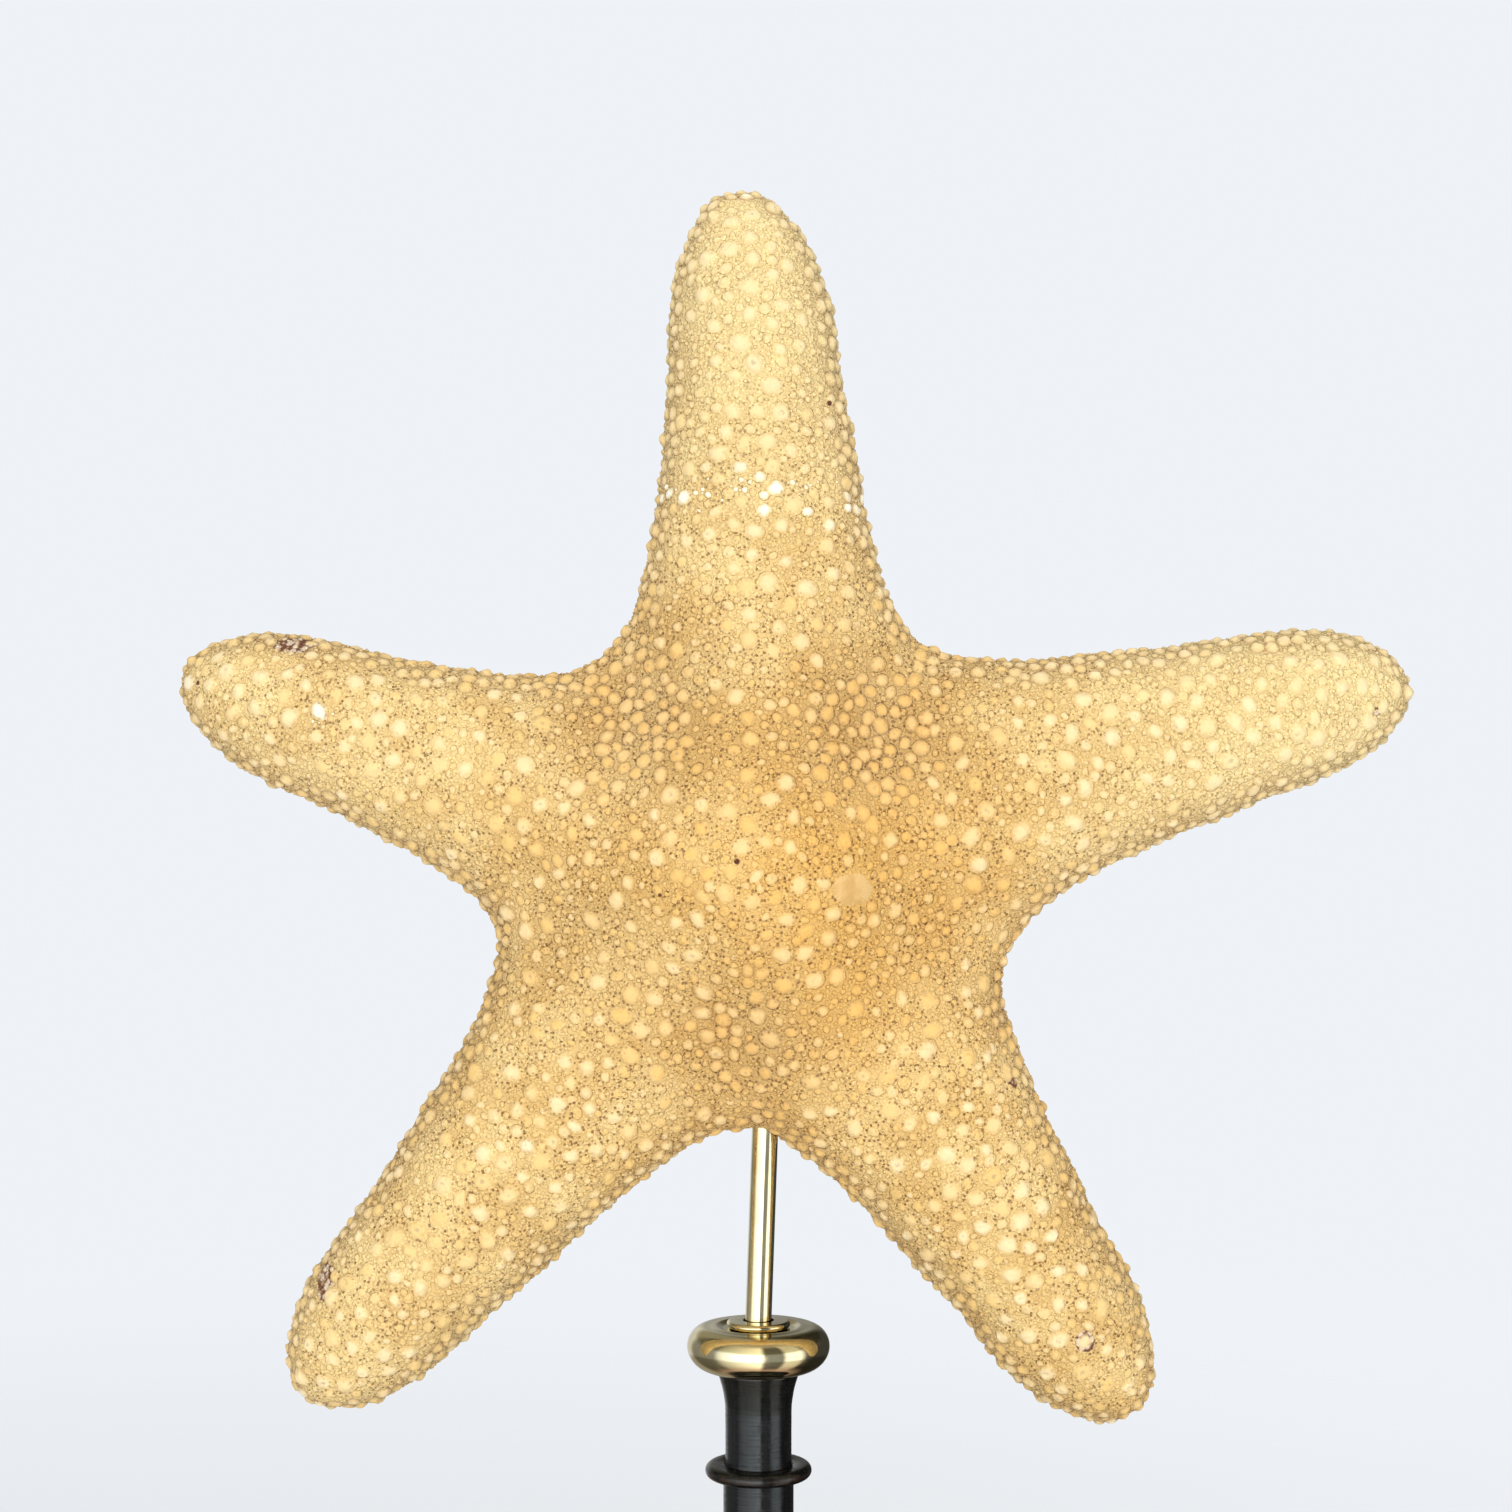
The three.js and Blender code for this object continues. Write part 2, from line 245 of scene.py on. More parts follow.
def make_lamp(name, place, size, watts):
    light = bpy.data.lights.new(name, "AREA")
    light.shape = "RECTANGLE"
    light.size, light.size_y = size
    light.energy = watts
    lamp = bpy.data.objects.new(name, light)
    lamp.location = place
    lamp.rotation_euler = (TARGET - Vector(place)).to_track_quat("-Z", "Y").to_euler()
    lamp.visible_camera = False
    lamp.visible_glossy = False
    bpy.context.scene.collection.objects.link(lamp)


for lamp_name, lamp_kind in LAMPS.items():
    make_lamp(lamp_name, **lamp_kind)

# %% [markdown]
# The camera stands level with the middle of the starfish and looks straight at its knobbly face,
# close enough that the stand's foot falls outside the view.

# %% Camera
CAMERA = {"across": -0.0006, "back": 0.659, "height": 0.2754, "angle": 31.3}


def make_camera():
    data = bpy.data.cameras.new("camera")
    data.sensor_width = 36
    data.lens = data.sensor_width / 2 / math.tan(math.radians(CAMERA["angle"] / 2))
    camera = bpy.data.objects.new("camera", data)
    camera.location = (CAMERA["across"], -CAMERA["back"], CAMERA["height"])
    camera.rotation_euler = (math.radians(90), 0, 0)
    bpy.context.scene.collection.objects.link(camera)
    bpy.context.scene.camera = camera


make_camera()

# %% [markdown]
# The skin is the starfish's own body. The CAD solid has the right form but large flat facets, so a
# copy of it is remeshed with small cells and relaxed until the facets are gone. Relaxing also draws
# in the thin edges between the arms, so the skin is laid back onto the solid and relaxed a little
# more. Slow noise then adds the unevenness of a hide that shrank as it dried.

# %% Skin form
SKIN_CELL = 1.15 * MM
RELAX_ROUNDS, LAST_ROUNDS = 28, 7
LUMP_SIZE, LUMP_HEIGHT = 15 * MM, 0.55 * MM
KNOB_ROOM = 0.4 * MM  # how far the skin lies inside the CAD solid, so that its knobs reach it


def copy_of_node(node):
    """A welded copy of a CAD node's mesh."""
    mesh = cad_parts[node].data.copy()
    form = bmesh.new()
    form.from_mesh(mesh)
    bmesh.ops.remove_doubles(form, verts=form.verts, dist=0.01 * MM)
    form.to_mesh(mesh)
    form.free()
    mesh.materials.clear()
    return mesh


def make_skin():
    rough = show("rough_skin", copy_of_node("starfish"))
    remesh = rough.modifiers.new("even cells", "REMESH")
    remesh.mode, remesh.voxel_size, remesh.use_smooth_shade = "VOXEL", SKIN_CELL, True
    solid = show("solid", copy_of_node("starfish"))
    for rounds in (RELAX_ROUNDS, LAST_ROUNDS):
        relax = rough.modifiers.new("relax", "SMOOTH")
        relax.factor, relax.iterations = 0.5, rounds
        if rounds == RELAX_ROUNDS:
            back = rough.modifiers.new("back to size", "SHRINKWRAP")
            back.target, back.wrap_method = solid, "NEAREST_SURFACEPOINT"
    skin = show("skin", baked(rough, "skin"))
    for helper in (rough, solid):
        bpy.data.objects.remove(helper)
    return skin


def read_points(mesh):
    points = np.empty(len(mesh.vertices) * 3)
    mesh.vertices.foreach_get("co", points)
    return points.reshape(-1, 3)


def read_normals(mesh):
    normals = np.empty(len(mesh.vertices) * 3, np.float32)
    mesh.vertices.foreach_get("normal", normals)
    return normals.reshape(-1, 3).astype(float)


def lumps(points, size, seed):
    """Smooth noise from -1 to 1 at each point."""
    return np.array([noise.noise(Vector(point) / size + Vector((seed, 0, 0))) for point in points])


skin = make_skin()
points = read_points(skin.data)
points += read_normals(skin.data) * (LUMP_HEIGHT * lumps(points, LUMP_SIZE, 3) - KNOB_ROOM)[:, None]
skin.data.vertices.foreach_set("co", points.ravel())
skin.data.update()
normals = read_normals(skin.data)
print("skin:", triangles(skin.data), "triangles")

# %% [markdown]
# Everything on the skin depends on where it is: near a tip or the disc, on an arm's ridge or its
# flank, on the knobbly face or the mouth face. These maps are worked out once for every point and
# stored as attributes, which the scattered knobs inherit and the materials read.

# %% The star's plan
CENTRE = np.array((-1.6, 249.5)) * MM  # across and up, as in the CAD solid
# The pale column sets how pale each arm is painted towards its tip: partly the skin's own paler tips,
# partly painted shade, lower on the left and lower arms where less light falls.
ARMS = [  # direction in degrees, reach and sideways bow in millimetres, as in the CAD solid
    {"direction": 15.5, "reach": 167, "bow": 2.2, "pale": 0.9},
    {"direction": 91, "reach": 164.5, "bow": -3.6, "pale": 1.0},
    {"direction": 161.5, "reach": 147, "bow": 0.6, "pale": 0.4},
    {"direction": 230, "reach": 171, "bow": 1.7, "pale": 0.25},
    {"direction": 304.5, "reach": 164.5, "bow": 0, "pale": 0},
]
arm_turns = np.radians([arm["direction"] for arm in ARMS])
arm_ways = np.stack([np.cos(arm_turns), np.sin(arm_turns)], axis=1)
arm_reaches = np.array([arm["reach"] for arm in ARMS]) * MM
arm_bows = np.array([arm["bow"] for arm in ARMS]) * MM
arm_pale_and_shade = np.array([arm["pale"] for arm in ARMS])
# Each hollow's strength sets how densely knobs pack there and how much painted shade it gets.
HOLLOWS = [(47, 0.95), (128, 0.85), (205, 0.35), (268, 0.7), (338, 0.4)]  # direction and strength
SCARS = [  # middle across and up, half width and half height in millimetres
    (-112, 302, 4.6, 1.9),
    (-104, 149, 2.2, 4.2),
    (78, 135, 2.0, 1.6),
    (61, 197, 1.1, 1.1),
    (148, 286, 1.3, 1.1),
]
# Places of the few larger holes, painted dark as shade; the mesh has none.
SPECKS = [(-5, 251, 0.75), (-135, 293, 0.6), (17, 360, 0.65), (-23, 243, 0.5)]  # across, up, radius
PLATE = (21.8, 244.1)  # middle of the sieve plate, across and up
PLATE_SIZE = (5.0, 4.1)


def smooth(value, low, high):
    share = np.clip((value - low) / (high - low), 0, 1)
    return share * share * (3 - 2 * share)


def bell(distance, spread):
    return np.exp(-((distance / spread) ** 2) / 2)


def spot(points, direction, distance, spread):
    """A soft round patch on the star's plane, placed by direction and distance from the centre."""
    turn = math.radians(direction)
    middle = CENTRE + distance * MM * np.array((math.cos(turn), math.sin(turn)))
    return bell(np.hypot(*(points[:, [0, 2]] - middle).T), spread * MM)


def scarred(points):
    """How much each point lies in an old wound."""
    share = np.zeros(len(points))
    for across, up, wide, high in SCARS:
        aside = (points[:, [0, 2]] / MM - (across, up)) / (wide, high)
        share = np.maximum(share, smooth(np.hypot(*aside.T), 1.35, 0.75))
    return share


# %% Maps of the skin
def map_skin(points, normals):
    flat = points[:, [0, 2]] - CENTRE
    along = flat @ arm_ways.T
    aside = flat[:, [1]] * arm_ways[:, 0] - flat[:, [0]] * arm_ways[:, 1]
    arm = np.argmax(along, axis=1)
    rows = np.arange(len(points))
    reach = along[rows, arm] / arm_reaches[arm]
    aside = aside[rows, arm] - arm_bows[arm] * 4 * reach * (1 - reach)
    facing = -normals[:, 1]
    front, back = facing > 0, points[:, 1] > 0
    outwards = np.zeros_like(points)
    outwards[:, [0, 2]] = arm_ways[arm]
    hollow = sum(strength * spot(points, way, 43, 15) for way, strength in HOLLOWS) * front
    flank = smooth(facing, 0.86, 0.45) * smooth(facing, -0.5, -0.1)
    tip = smooth(reach, 0.955, 1.0)
    face = smooth(facing, -0.35, 0.25)
    groove = smooth(np.abs(aside), 5.2 * MM, 3.4 * MM) * smooth(reach, 0.96, 0.9) * back
    return {
        "reach": reach,
        "ridge": bell(aside, 9 * MM),
        "face": face,
        "plain": (1 - face) * (1 - groove) * (np.hypot(*flat.T) > 12 * MM),
        "groove": groove * (facing < 0.5),
        "hollow": np.clip(hollow, 0, 1),
        "packed": np.clip(flank + hollow, 0, 1),
        "outwards": outwards,
        "warm": np.clip(
            0.9 * spot(points, -8, 33, 21) + 0.6 * spot(points, 282, 42, 20)
            + 0.4 * spot(points, 60, 24, 28) + 0.25 * spot(points, 200, 30, 25), 0, 1,
        ),
        # Paler towards the tips by each arm's pale value, which also carries painted shade on the left
        # and lower arms.
        "pale": np.clip(smooth(reach, 0.2, 0.95) * arm_pale_and_shade[arm], 0, 1),
        "chalk": np.clip(
            0.95 * bell(reach - 0.535, 0.03) * (arm == 1) + 0.5 * spot(points, 229, 86, 8)
            + 0.9 * tip + 1.0 * spot(points, 161, 108, 3.5), 0, 1,
        ),
        "scar": scarred(points) * front,
        "plate": smooth(
            np.hypot(*((points[:, [0, 2]] / MM - PLATE) / PLATE_SIZE).T), 1.35, 1.15
        ) * front,
    }


maps = map_skin(points, normals)


def store(mesh, name, values):
    kind = "FLOAT_VECTOR" if values.ndim == 2 else "FLOAT"
    attribute = mesh.attributes.new(name, kind, "POINT")
    attribute.data.foreach_set("vector" if values.ndim == 2 else "value", values.ravel())


for map_name, map_values in maps.items():
    store(skin.data, map_name, map_values)

# %% [markdown]
# The knobs are limy plates in the skin, each a low rounded dome with a foot that runs out into the
# skin around it. They repeat by the thousand in a few sizes, which is work for Geometry Nodes: one
# tree scatters points at an even spacing, clears those that stand too close to larger knobs, lays a
# flat disc on each, draws the disc's points onto the skin and only then raises its middle. So a
# knob's foot follows the curve of the skin and no gap opens under it.

# %% Helpers for Geometry Nodes
def new_tree(name, sockets):
    tree = bpy.data.node_groups.new(name, "GeometryNodeTree")
    for label, kind, value in [("Geometry", "Geometry", None), *sockets]:
        socket = tree.interface.new_socket(label, in_out="INPUT", socket_type="NodeSocket" + kind)
        if value is not None:
            socket.default_value = value
    tree.interface.new_socket("Geometry", in_out="OUTPUT", socket_type="NodeSocketGeometry")
    return tree


def named(tree, name, kind="FLOAT"):
    made = add_node(tree, "GeometryNodeInputNamedAttribute", {"Name": name}, data_type=kind)
    return made.outputs["Attribute"]


def keep(tree, geometry, name, value, kind="FLOAT", domain="POINT"):
    """Stores a value on every point of a geometry under a name."""
    made = add_node(
        tree,
        "GeometryNodeStoreNamedAttribute",
        {"Geometry": geometry, "Name": name, "Value": value},
        data_type=kind,
        domain=domain,
    )
    return made.outputs[0]


def random_share(tree, seed):
    made = add_node(tree, "FunctionNodeRandomValue", {"Seed": seed}, data_type="FLOAT")
    return made.outputs[1]


def vectors(tree, operation, *values, **scale):
    made = add_node(
        tree, "ShaderNodeVectorMath", {**dict(enumerate(values)), **scale}, operation=operation
    )
    return made.outputs["Value" if operation == "LENGTH" else "Vector"]


def profile(tree, value, line):
    """Reads a smooth curve through the given points of line at value."""
    curve = add_node(tree, "ShaderNodeFloatCurve", {"Value": value})
    points = curve.mapping.curves[0].points
    points[0].location, points[-1].location = line[0], line[-1]
    for x, y in line[1:-1]:
        points.new(x, y)
    curve.mapping.update()
    return curve.outputs[0]


def stand_on(tree, normal, way, axis):
    """Stands upright on normal and turns the given axis towards way."""
    kind = "FunctionNodeAlignRotationToVector"
    upright = add_node(tree, kind, {"Vector": normal}, axis="Z").outputs[0]
    return add_node(
        tree, kind, {"Rotation": upright, "Vector": way}, axis=axis, pivot_axis="Z"
    ).outputs[0]


def set_out(tree, points, instance, rotation, scale):
    """Real copies of an instance on points."""
    inputs = {"Points": points, "Instance": instance, "Rotation": rotation, "Scale": scale}
    placed = add_node(tree, "GeometryNodeInstanceOnPoints", inputs).outputs[0]
    return add_node(tree, "GeometryNodeRealizeInstances", {"Geometry": placed}).outputs[0]


def close_tree(tree, geometry, material):
    """Ends a tree with smooth shading and the material."""
    soft = add_node(tree, "GeometryNodeSetShadeSmooth", {"Geometry": geometry}).outputs[0]
    inputs = {"Geometry": soft, "Material": material}
    painted = add_node(tree, "GeometryNodeSetMaterial", inputs).outputs[0]
    add_node(tree, "NodeGroupOutput", {"Geometry": painted})
    return tree


def run_tree(name, tree, mesh, values):
    """A finished piece: the tree's result on a copy of mesh, with values for its named inputs."""
    host = show(name + "_host", mesh.copy())
    modifier = host.modifiers.new(name, "NODES")
    modifier.node_group = tree
    for item in tree.interface.items_tree:
        if item.in_out == "INPUT" and item.name in values:
            modifier[item.identifier] = values[item.name]
    piece = show(name, baked(host, name))
    bpy.data.objects.remove(host)
    print(name, triangles(piece.data), "triangles")
    return piece


# %% A flat disc for each knob
DOME_PROFILE = [(0, 1), (0.25, 0.94), (0.5, 0.73), (0.7, 0.38), (0.85, 0.12), (1, 0)]


def flat_disc(tree, sides, rings):
    """A disc of radius 1 in two layers, with the height that it will rise to as 'cap'."""
    cone = add_node(
        tree,
        "GeometryNodeMeshCone",
        {"Vertices": sides, "Side Segments": rings, "Radius Top": 0.0, "Radius Bottom": 1.0},
        fill_type="NGON",
    )
    place = add_node(tree, "GeometryNodeInputPosition").outputs[0]
    flat = vectors(tree, "MULTIPLY", place, (1, 1, 0))
    cap = profile(tree, vectors(tree, "LENGTH", flat), DOME_PROFILE)
    shaped = add_node(
        tree, "GeometryNodeSetPosition", {"Geometry": cone.outputs["Mesh"], "Position": flat}
    )
    return keep(tree, shaped.outputs[0], "cap", cap)


# %% Points for the knobs
def knob_points(tree, given):
    """Evenly spaced points on the skin that stand clear of the larger knobs."""
    density = maths(tree, "DIVIDE", 5.0, maths(tree, "POWER", given["Spacing"], 2.0))
    where = add_node(tree, "GeometryNodeInputNamedAttribute", {"Name": given["Where"]})
    scattered = add_node(
        tree,
        "GeometryNodeDistributePointsOnFaces",
        {
            "Mesh": given["Geometry"],
            "Distance Min": given["Spacing"],
            "Density Max": density,
            "Density Factor": where.outputs["Attribute"],
            "Seed": given["Seed"],
        },
        distribute_method="POISSON",
    )
    larger = add_node(tree, "GeometryNodeObjectInfo", {"Object": given["Clear Of"]})
    near = add_node(
        tree,
        "GeometryNodeProximity",
        {"Geometry": larger.outputs["Geometry"]},
        target_element="FACES",
    )
    crowded = maths(tree, "LESS_THAN", near.outputs["Distance"], given["Clearance"])
    crowded = times(tree, crowded, near.outputs["Is Valid"])
    kept = add_node(
        tree,
        "GeometryNodeDeleteGeometry",
        {"Geometry": scattered.outputs["Points"], "Selection": crowded},
        domain="POINT",
    )
    return kept.outputs[0], scattered.outputs["Normal"]


# %% How each knob lies and how large it is
def knob_turn(tree, normal):
    """Upright on the skin, long side near to the arm's direction."""
    lined_up = stand_on(tree, normal, named(tree, "outwards", "FLOAT_VECTOR"), "Y")
    spin = times(tree, maths(tree, "SUBTRACT", random_share(tree, 11), 0.5), 1.8)
    turn = add_node(tree, "FunctionNodeAxisAngleToRotation", {"Axis": (0, 0, 1), "Angle": spin})
    spun = add_node(
        tree,
        "FunctionNodeRotateRotation",
        {"Rotation": lined_up, "Rotate By": turn.outputs[0]},
        rotation_space="LOCAL",
    )
    return spun.outputs[0]


def knob_sizes(tree, given):
    """Two radii as a scale, and the height."""
    size = maths(tree, "POWER", random_share(tree, 12), 1.3)
    radius = between(tree, size, 0, 1, given["Smallest"], given["Largest"])
    stretch = times(tree, random_share(tree, 13), given["Stretch"])
    longer = maths(tree, "ADD", 1.0, stretch)
    narrow = maths(tree, "DIVIDE", radius, maths(tree, "SQRT", longer))
    wide = times(tree, radius, maths(tree, "SQRT", longer))
    scale = add_node(tree, "ShaderNodeCombineXYZ", {"X": wide, "Y": narrow, "Z": radius})
    rise = times(tree, radius, given["Height"])
    rise = times(tree, rise, between(tree, random_share(tree, 14), 0, 1, 0.7, 1.3))
    return scale.outputs[0], rise


# %% Laying the discs on the skin and raising them
FOOT_SUNK = 0.06  # how far a knob's rim lies under the skin, as a share of its height


def settle(tree, given, discs):
    """Draws the discs onto the skin, a little out of round, and raises their middles."""
    wobble = add_node(tree, "ShaderNodeTexNoise", {"Scale": 450.0, "Detail": 1.0})
    shift = vectors(tree, "SUBTRACT", wobble.outputs["Color"], (0.5, 0.5, 0.5))
    shift = vectors(tree, "SCALE", shift, Scale=given["Uneven"])
    moved = add_node(tree, "GeometryNodeSetPosition", {"Geometry": discs, "Offset": shift})
    nearest = add_node(
        tree, "GeometryNodeProximity", {"Geometry": given["Geometry"]}, target_element="FACES"
    )
    cap = named(tree, "cap")
    pit_mark = between(tree, named(tree, "whim"), 0.8, 0.82)
    pit_mark = times(tree, pit_mark, between(tree, cap, 0.9, 1.0))
    uneven = add_node(tree, "ShaderNodeTexNoise", {"Scale": 600.0, "Detail": 1.0})
    swell = between(tree, uneven.outputs["Fac"], 0.3, 0.7, 0.8, 1.2)
    height = maths(tree, "SUBTRACT", times(tree, cap, swell), FOOT_SUNK)
    height = maths(tree, "SUBTRACT", height, times(tree, pit_mark, given["Pit"]))
    lift = vectors(tree, "SCALE", named(tree, "lift", "FLOAT_VECTOR"), Scale=height)
    place = vectors(tree, "ADD", nearest.outputs["Position"], lift)
    raised = add_node(
        tree, "GeometryNodeSetPosition", {"Geometry": moved.outputs[0], "Position": place}
    )
    return raised.outputs[0]


# %% The scatter tree
def scatter_tree():
    tree = new_tree(
        "scatter knobs",
        [
            ("Where", "String", "face"),
            ("Spacing", "Float", 0.005),
            ("Smallest", "Float", 0.001),
            ("Largest", "Float", 0.002),
            ("Height", "Float", 0.5),
            ("Stretch", "Float", 0.3),
            ("Sides", "Int", 12),
            ("Rings", "Int", 4),
            ("Clear Of", "Object", None),
            ("Clearance", "Float", 0.0),
            ("Seed", "Int", 1),
            ("Uneven", "Float", 0.0002),
            ("Paleness", "Float", 0.5),
            ("Cover", "Float", 1.0),
            ("Pit", "Float", 0.0),
            ("Material", "Material", None),
        ],
    )
    given = add_node(tree, "NodeGroupInput").outputs
    dots, normal = knob_points(tree, given)
    scale, rise = knob_sizes(tree, given)
    shade = maths(tree, "ADD", random_share(tree, 15), maths(tree, "SUBTRACT", given["Paleness"], 0.5))
    dots = keep(tree, dots, "lift", vectors(tree, "SCALE", normal, Scale=rise), "FLOAT_VECTOR")
    dots = keep(tree, dots, "shade", shade)
    dots = keep(tree, dots, "whim", random_share(tree, 16))
    dots = keep(tree, dots, "cover", given["Cover"])
    disc = flat_disc(tree, given["Sides"], given["Rings"])
    discs = set_out(tree, dots, disc, knob_turn(tree, normal), scale)
    return close_tree(tree, settle(tree, given, discs), given["Material"])


knob_tree = scatter_tree()

# %% [markdown]
# The finishes share one idea. Dried skin is a warm tan with fine grain and scattered pores, the limy
# caps of the knobs are cream to almost white, the disc is more orange and the tips are paler. Skin
# and knobs are painted by the same ground, so a knob's foot melts into the skin, and only its cap
# gets a colour of its own.

# %% Helpers for materials
def attribute(tree, name):
    return add_node(tree, "ShaderNodeAttribute", attribute_name=name).outputs["Fac"]


def new_material(name):
    material = bpy.data.materials.new(name)
    material.use_nodes = True
    tree = material.node_tree
    shader = tree.nodes["Principled BSDF"]
    place = add_node(tree, "ShaderNodeTexCoord").outputs["Object"]
    return material, tree, shader, place


def fog(tree, place, scale, detail=2.0, rough=0.5):
    made = add_node(
        tree,
        "ShaderNodeTexNoise",
        {"Vector": place, "Scale": scale, "Detail": detail, "Roughness": rough},
    )
    return made.outputs["Fac"]


def cells(tree, place, scale):
    made = add_node(tree, "ShaderNodeTexVoronoi", {"Vector": place, "Scale": scale}, feature="F1")
    return made.outputs["Distance"]


def set_finish(tree, shader, colour, relief, strength, depth):
    tree.links.new(colour, shader.inputs["Base Color"])
    bump = add_node(
        tree, "ShaderNodeBump", {"Height": relief, "Strength": strength, "Distance": depth}
    )
    tree.links.new(bump.outputs[0], shader.inputs["Normal"])


def tinted(tree, colour, share, strength, tint):
    """Mixes a tint into a colour by a share of the given strength."""
    return blend_colours(tree, times(tree, share, strength), colour, tint)


# %% The ground that skin and knobs share
TAN_DARK = (0.68, 0.45, 0.165, 1)
TAN_LIGHT = (0.81, 0.60, 0.265, 1)
# Brown of the seams, the mouth-side grooves and the plate's furrows, also used as painted shade among
# packed knobs.
SHADE_AND_BROWN = (0.30, 0.165, 0.065, 1)
# Painted shade for the hollows between the arms.
HOLLOW_SHADE = (0.32, 0.18, 0.06, 1)
ORANGE = (0.76, 0.43, 0.10, 1)
STRAW = (0.86, 0.70, 0.35, 1)
# Painted shade inside the pores; the bump only dents them.
PORE_SHADE = (0.19, 0.075, 0.025, 1)
SCAB = (0.16, 0.06, 0.035, 1)
# Painted shade for the few larger holes, which the mesh doesn't have.
HOLE_SHADE = (0.12, 0.04, 0.02, 1)
SCAR_GRAIN = (0.72, 0.58, 0.42, 1)


def ground(tree, place):
    """Colour and relief of the bare skin: its orange and pale regions, and painted shade among packed
    knobs, in the hollows and in the pores.
    """
    mottled = between(tree, fog(tree, place, 60, 3), 0.35, 0.65)
    colour = blend_colours(tree, mottled, TAN_DARK, TAN_LIGHT)
    # Of these, packed and hollow paint shade: darker among packed knobs and in the hollows between the
    # arms.
    for region, strength, tint in (
        ("warm", 0.7, ORANGE),
        ("pale", 0.75, STRAW),
        ("packed", 0.27, SHADE_AND_BROWN),
        ("hollow", 0.3, HOLLOW_SHADE),
        ("groove", 0.7, SHADE_AND_BROWN),
    ):
        colour = tinted(tree, colour, attribute(tree, region), strength, tint)
    seam = between(tree, cells(tree, place, 1100.0), 0.25, 0.7)
    colour = tinted(tree, colour, seam, 0.25, SHADE_AND_BROWN)
    pore = pores(tree, place)
    # the pores get painted shade
    colour = tinted(tree, colour, pore, 0.75, PORE_SHADE)
    ragged = maths(tree, "ADD", attribute(tree, "scar"), fog(tree, place, 800, 3))
    pitted = between(tree, cells(tree, place, 620.0), 0.35, 0.6)
    healed = blend_colours(tree, pitted, SCAR_GRAIN, SCAB)
    colour = blend_colours(tree, between(tree, ragged, 0.9, 1.2), colour, healed)
    relief = maths(tree, "SUBTRACT", maths(tree, "SUBTRACT", 1.0, seam), pore)
    return colour, relief


def speck_share(tree, place):
    """The few larger holes of the knobbly face, painted dark as shade; the mesh has no hole there."""
    share = 0.0
    for across, up, radius in SPECKS:
        middle = (across * MM, 0, up * MM)
        flat = vectors(tree, "MULTIPLY", vectors(tree, "SUBTRACT", place, middle), (1, 0, 1))
        away = vectors(tree, "LENGTH", flat)
        inside = between(tree, away, radius * 0.7 * MM, radius * 1.1 * MM, 1.0, 0.0)
        share = maths(tree, "MAXIMUM", share, inside)
    return times(tree, share, attribute(tree, "face"))


def pores(tree, place):
    """Small holes in loose clusters on the knobbly face, whose dark is painted shade; the bump dents
    them.
    """
    patch = between(tree, fog(tree, place, 130, 1), 0.34, 0.5)
    pore = times(tree, between(tree, cells(tree, place, 860.0), 0.34, 0.22), patch)
    faint = between(tree, attribute(tree, "pale"), 0.1, 0.9, 1.0, 0.4)
    return times(tree, times(tree, pore, faint), attribute(tree, "face"))


# %% Skin and knob finishes
TAN_CAP = (0.75, 0.49, 0.17, 1)
CREAM = (0.81, 0.63, 0.35, 1)
STRAW_CAP = (0.80, 0.63, 0.32, 1)
ORANGE_CAP = (0.76, 0.42, 0.10, 1)
PEACH = (0.78, 0.52, 0.20, 1)
# Painted shade: caps in the hollows are tinted darker and more orange.
HOLLOW_CAP_SHADE = (0.70, 0.42, 0.14, 1)
CHALK = (0.88, 0.84, 0.68, 1)
# A grey put into the pits of a few large caps.
PIT_GREY = (0.25, 0.22, 0.17, 1)
# Painted shade at the feet of packed knobs, where they meet.
CREASE_SHADE_COLOUR = (0.27, 0.165, 0.08, 1)  # where packed knobs meet


def skin_finish():
    material, tree, shader, place = new_material("dried_skin")
    colour, relief = ground(tree, place)
    # the larger holes get painted shade
    colour = blend_colours(tree, speck_share(tree, place), colour, HOLE_SHADE)
    shader.inputs["Roughness"].default_value = 0.8
    set_finish(tree, shader, colour, relief, 0.7, 0.0004)
    return material


def cap_colour(tree):
    """Tan to cream by each knob's own random tone, more orange or paler by region, painted shade in
    the hollows, a few chalk white.
    """
    pale, warm = attribute(tree, "pale"), attribute(tree, "warm")
    shade = maths(tree, "ADD", attribute(tree, "shade"), times(tree, pale, 0.25))
    dark = blend_colours(tree, pale, TAN_CAP, STRAW_CAP)
    dark = blend_colours(tree, warm, dark, ORANGE_CAP)
    light = tinted(tree, CREAM, warm, 0.6, PEACH)
    colour = blend_colours(tree, between(tree, shade, 0.15, 0.95), dark, light)
    # painted shade in the hollows between the arms
    colour = tinted(tree, colour, attribute(tree, "hollow"), 0.8, HOLLOW_CAP_SHADE)
    chalky = times(tree, attribute(tree, "chalk"), 0.75)
    chalky = between(tree, maths(tree, "ADD", attribute(tree, "shade"), chalky), 1.12, 1.4)
    return blend_colours(tree, chalky, colour, CHALK), chalky


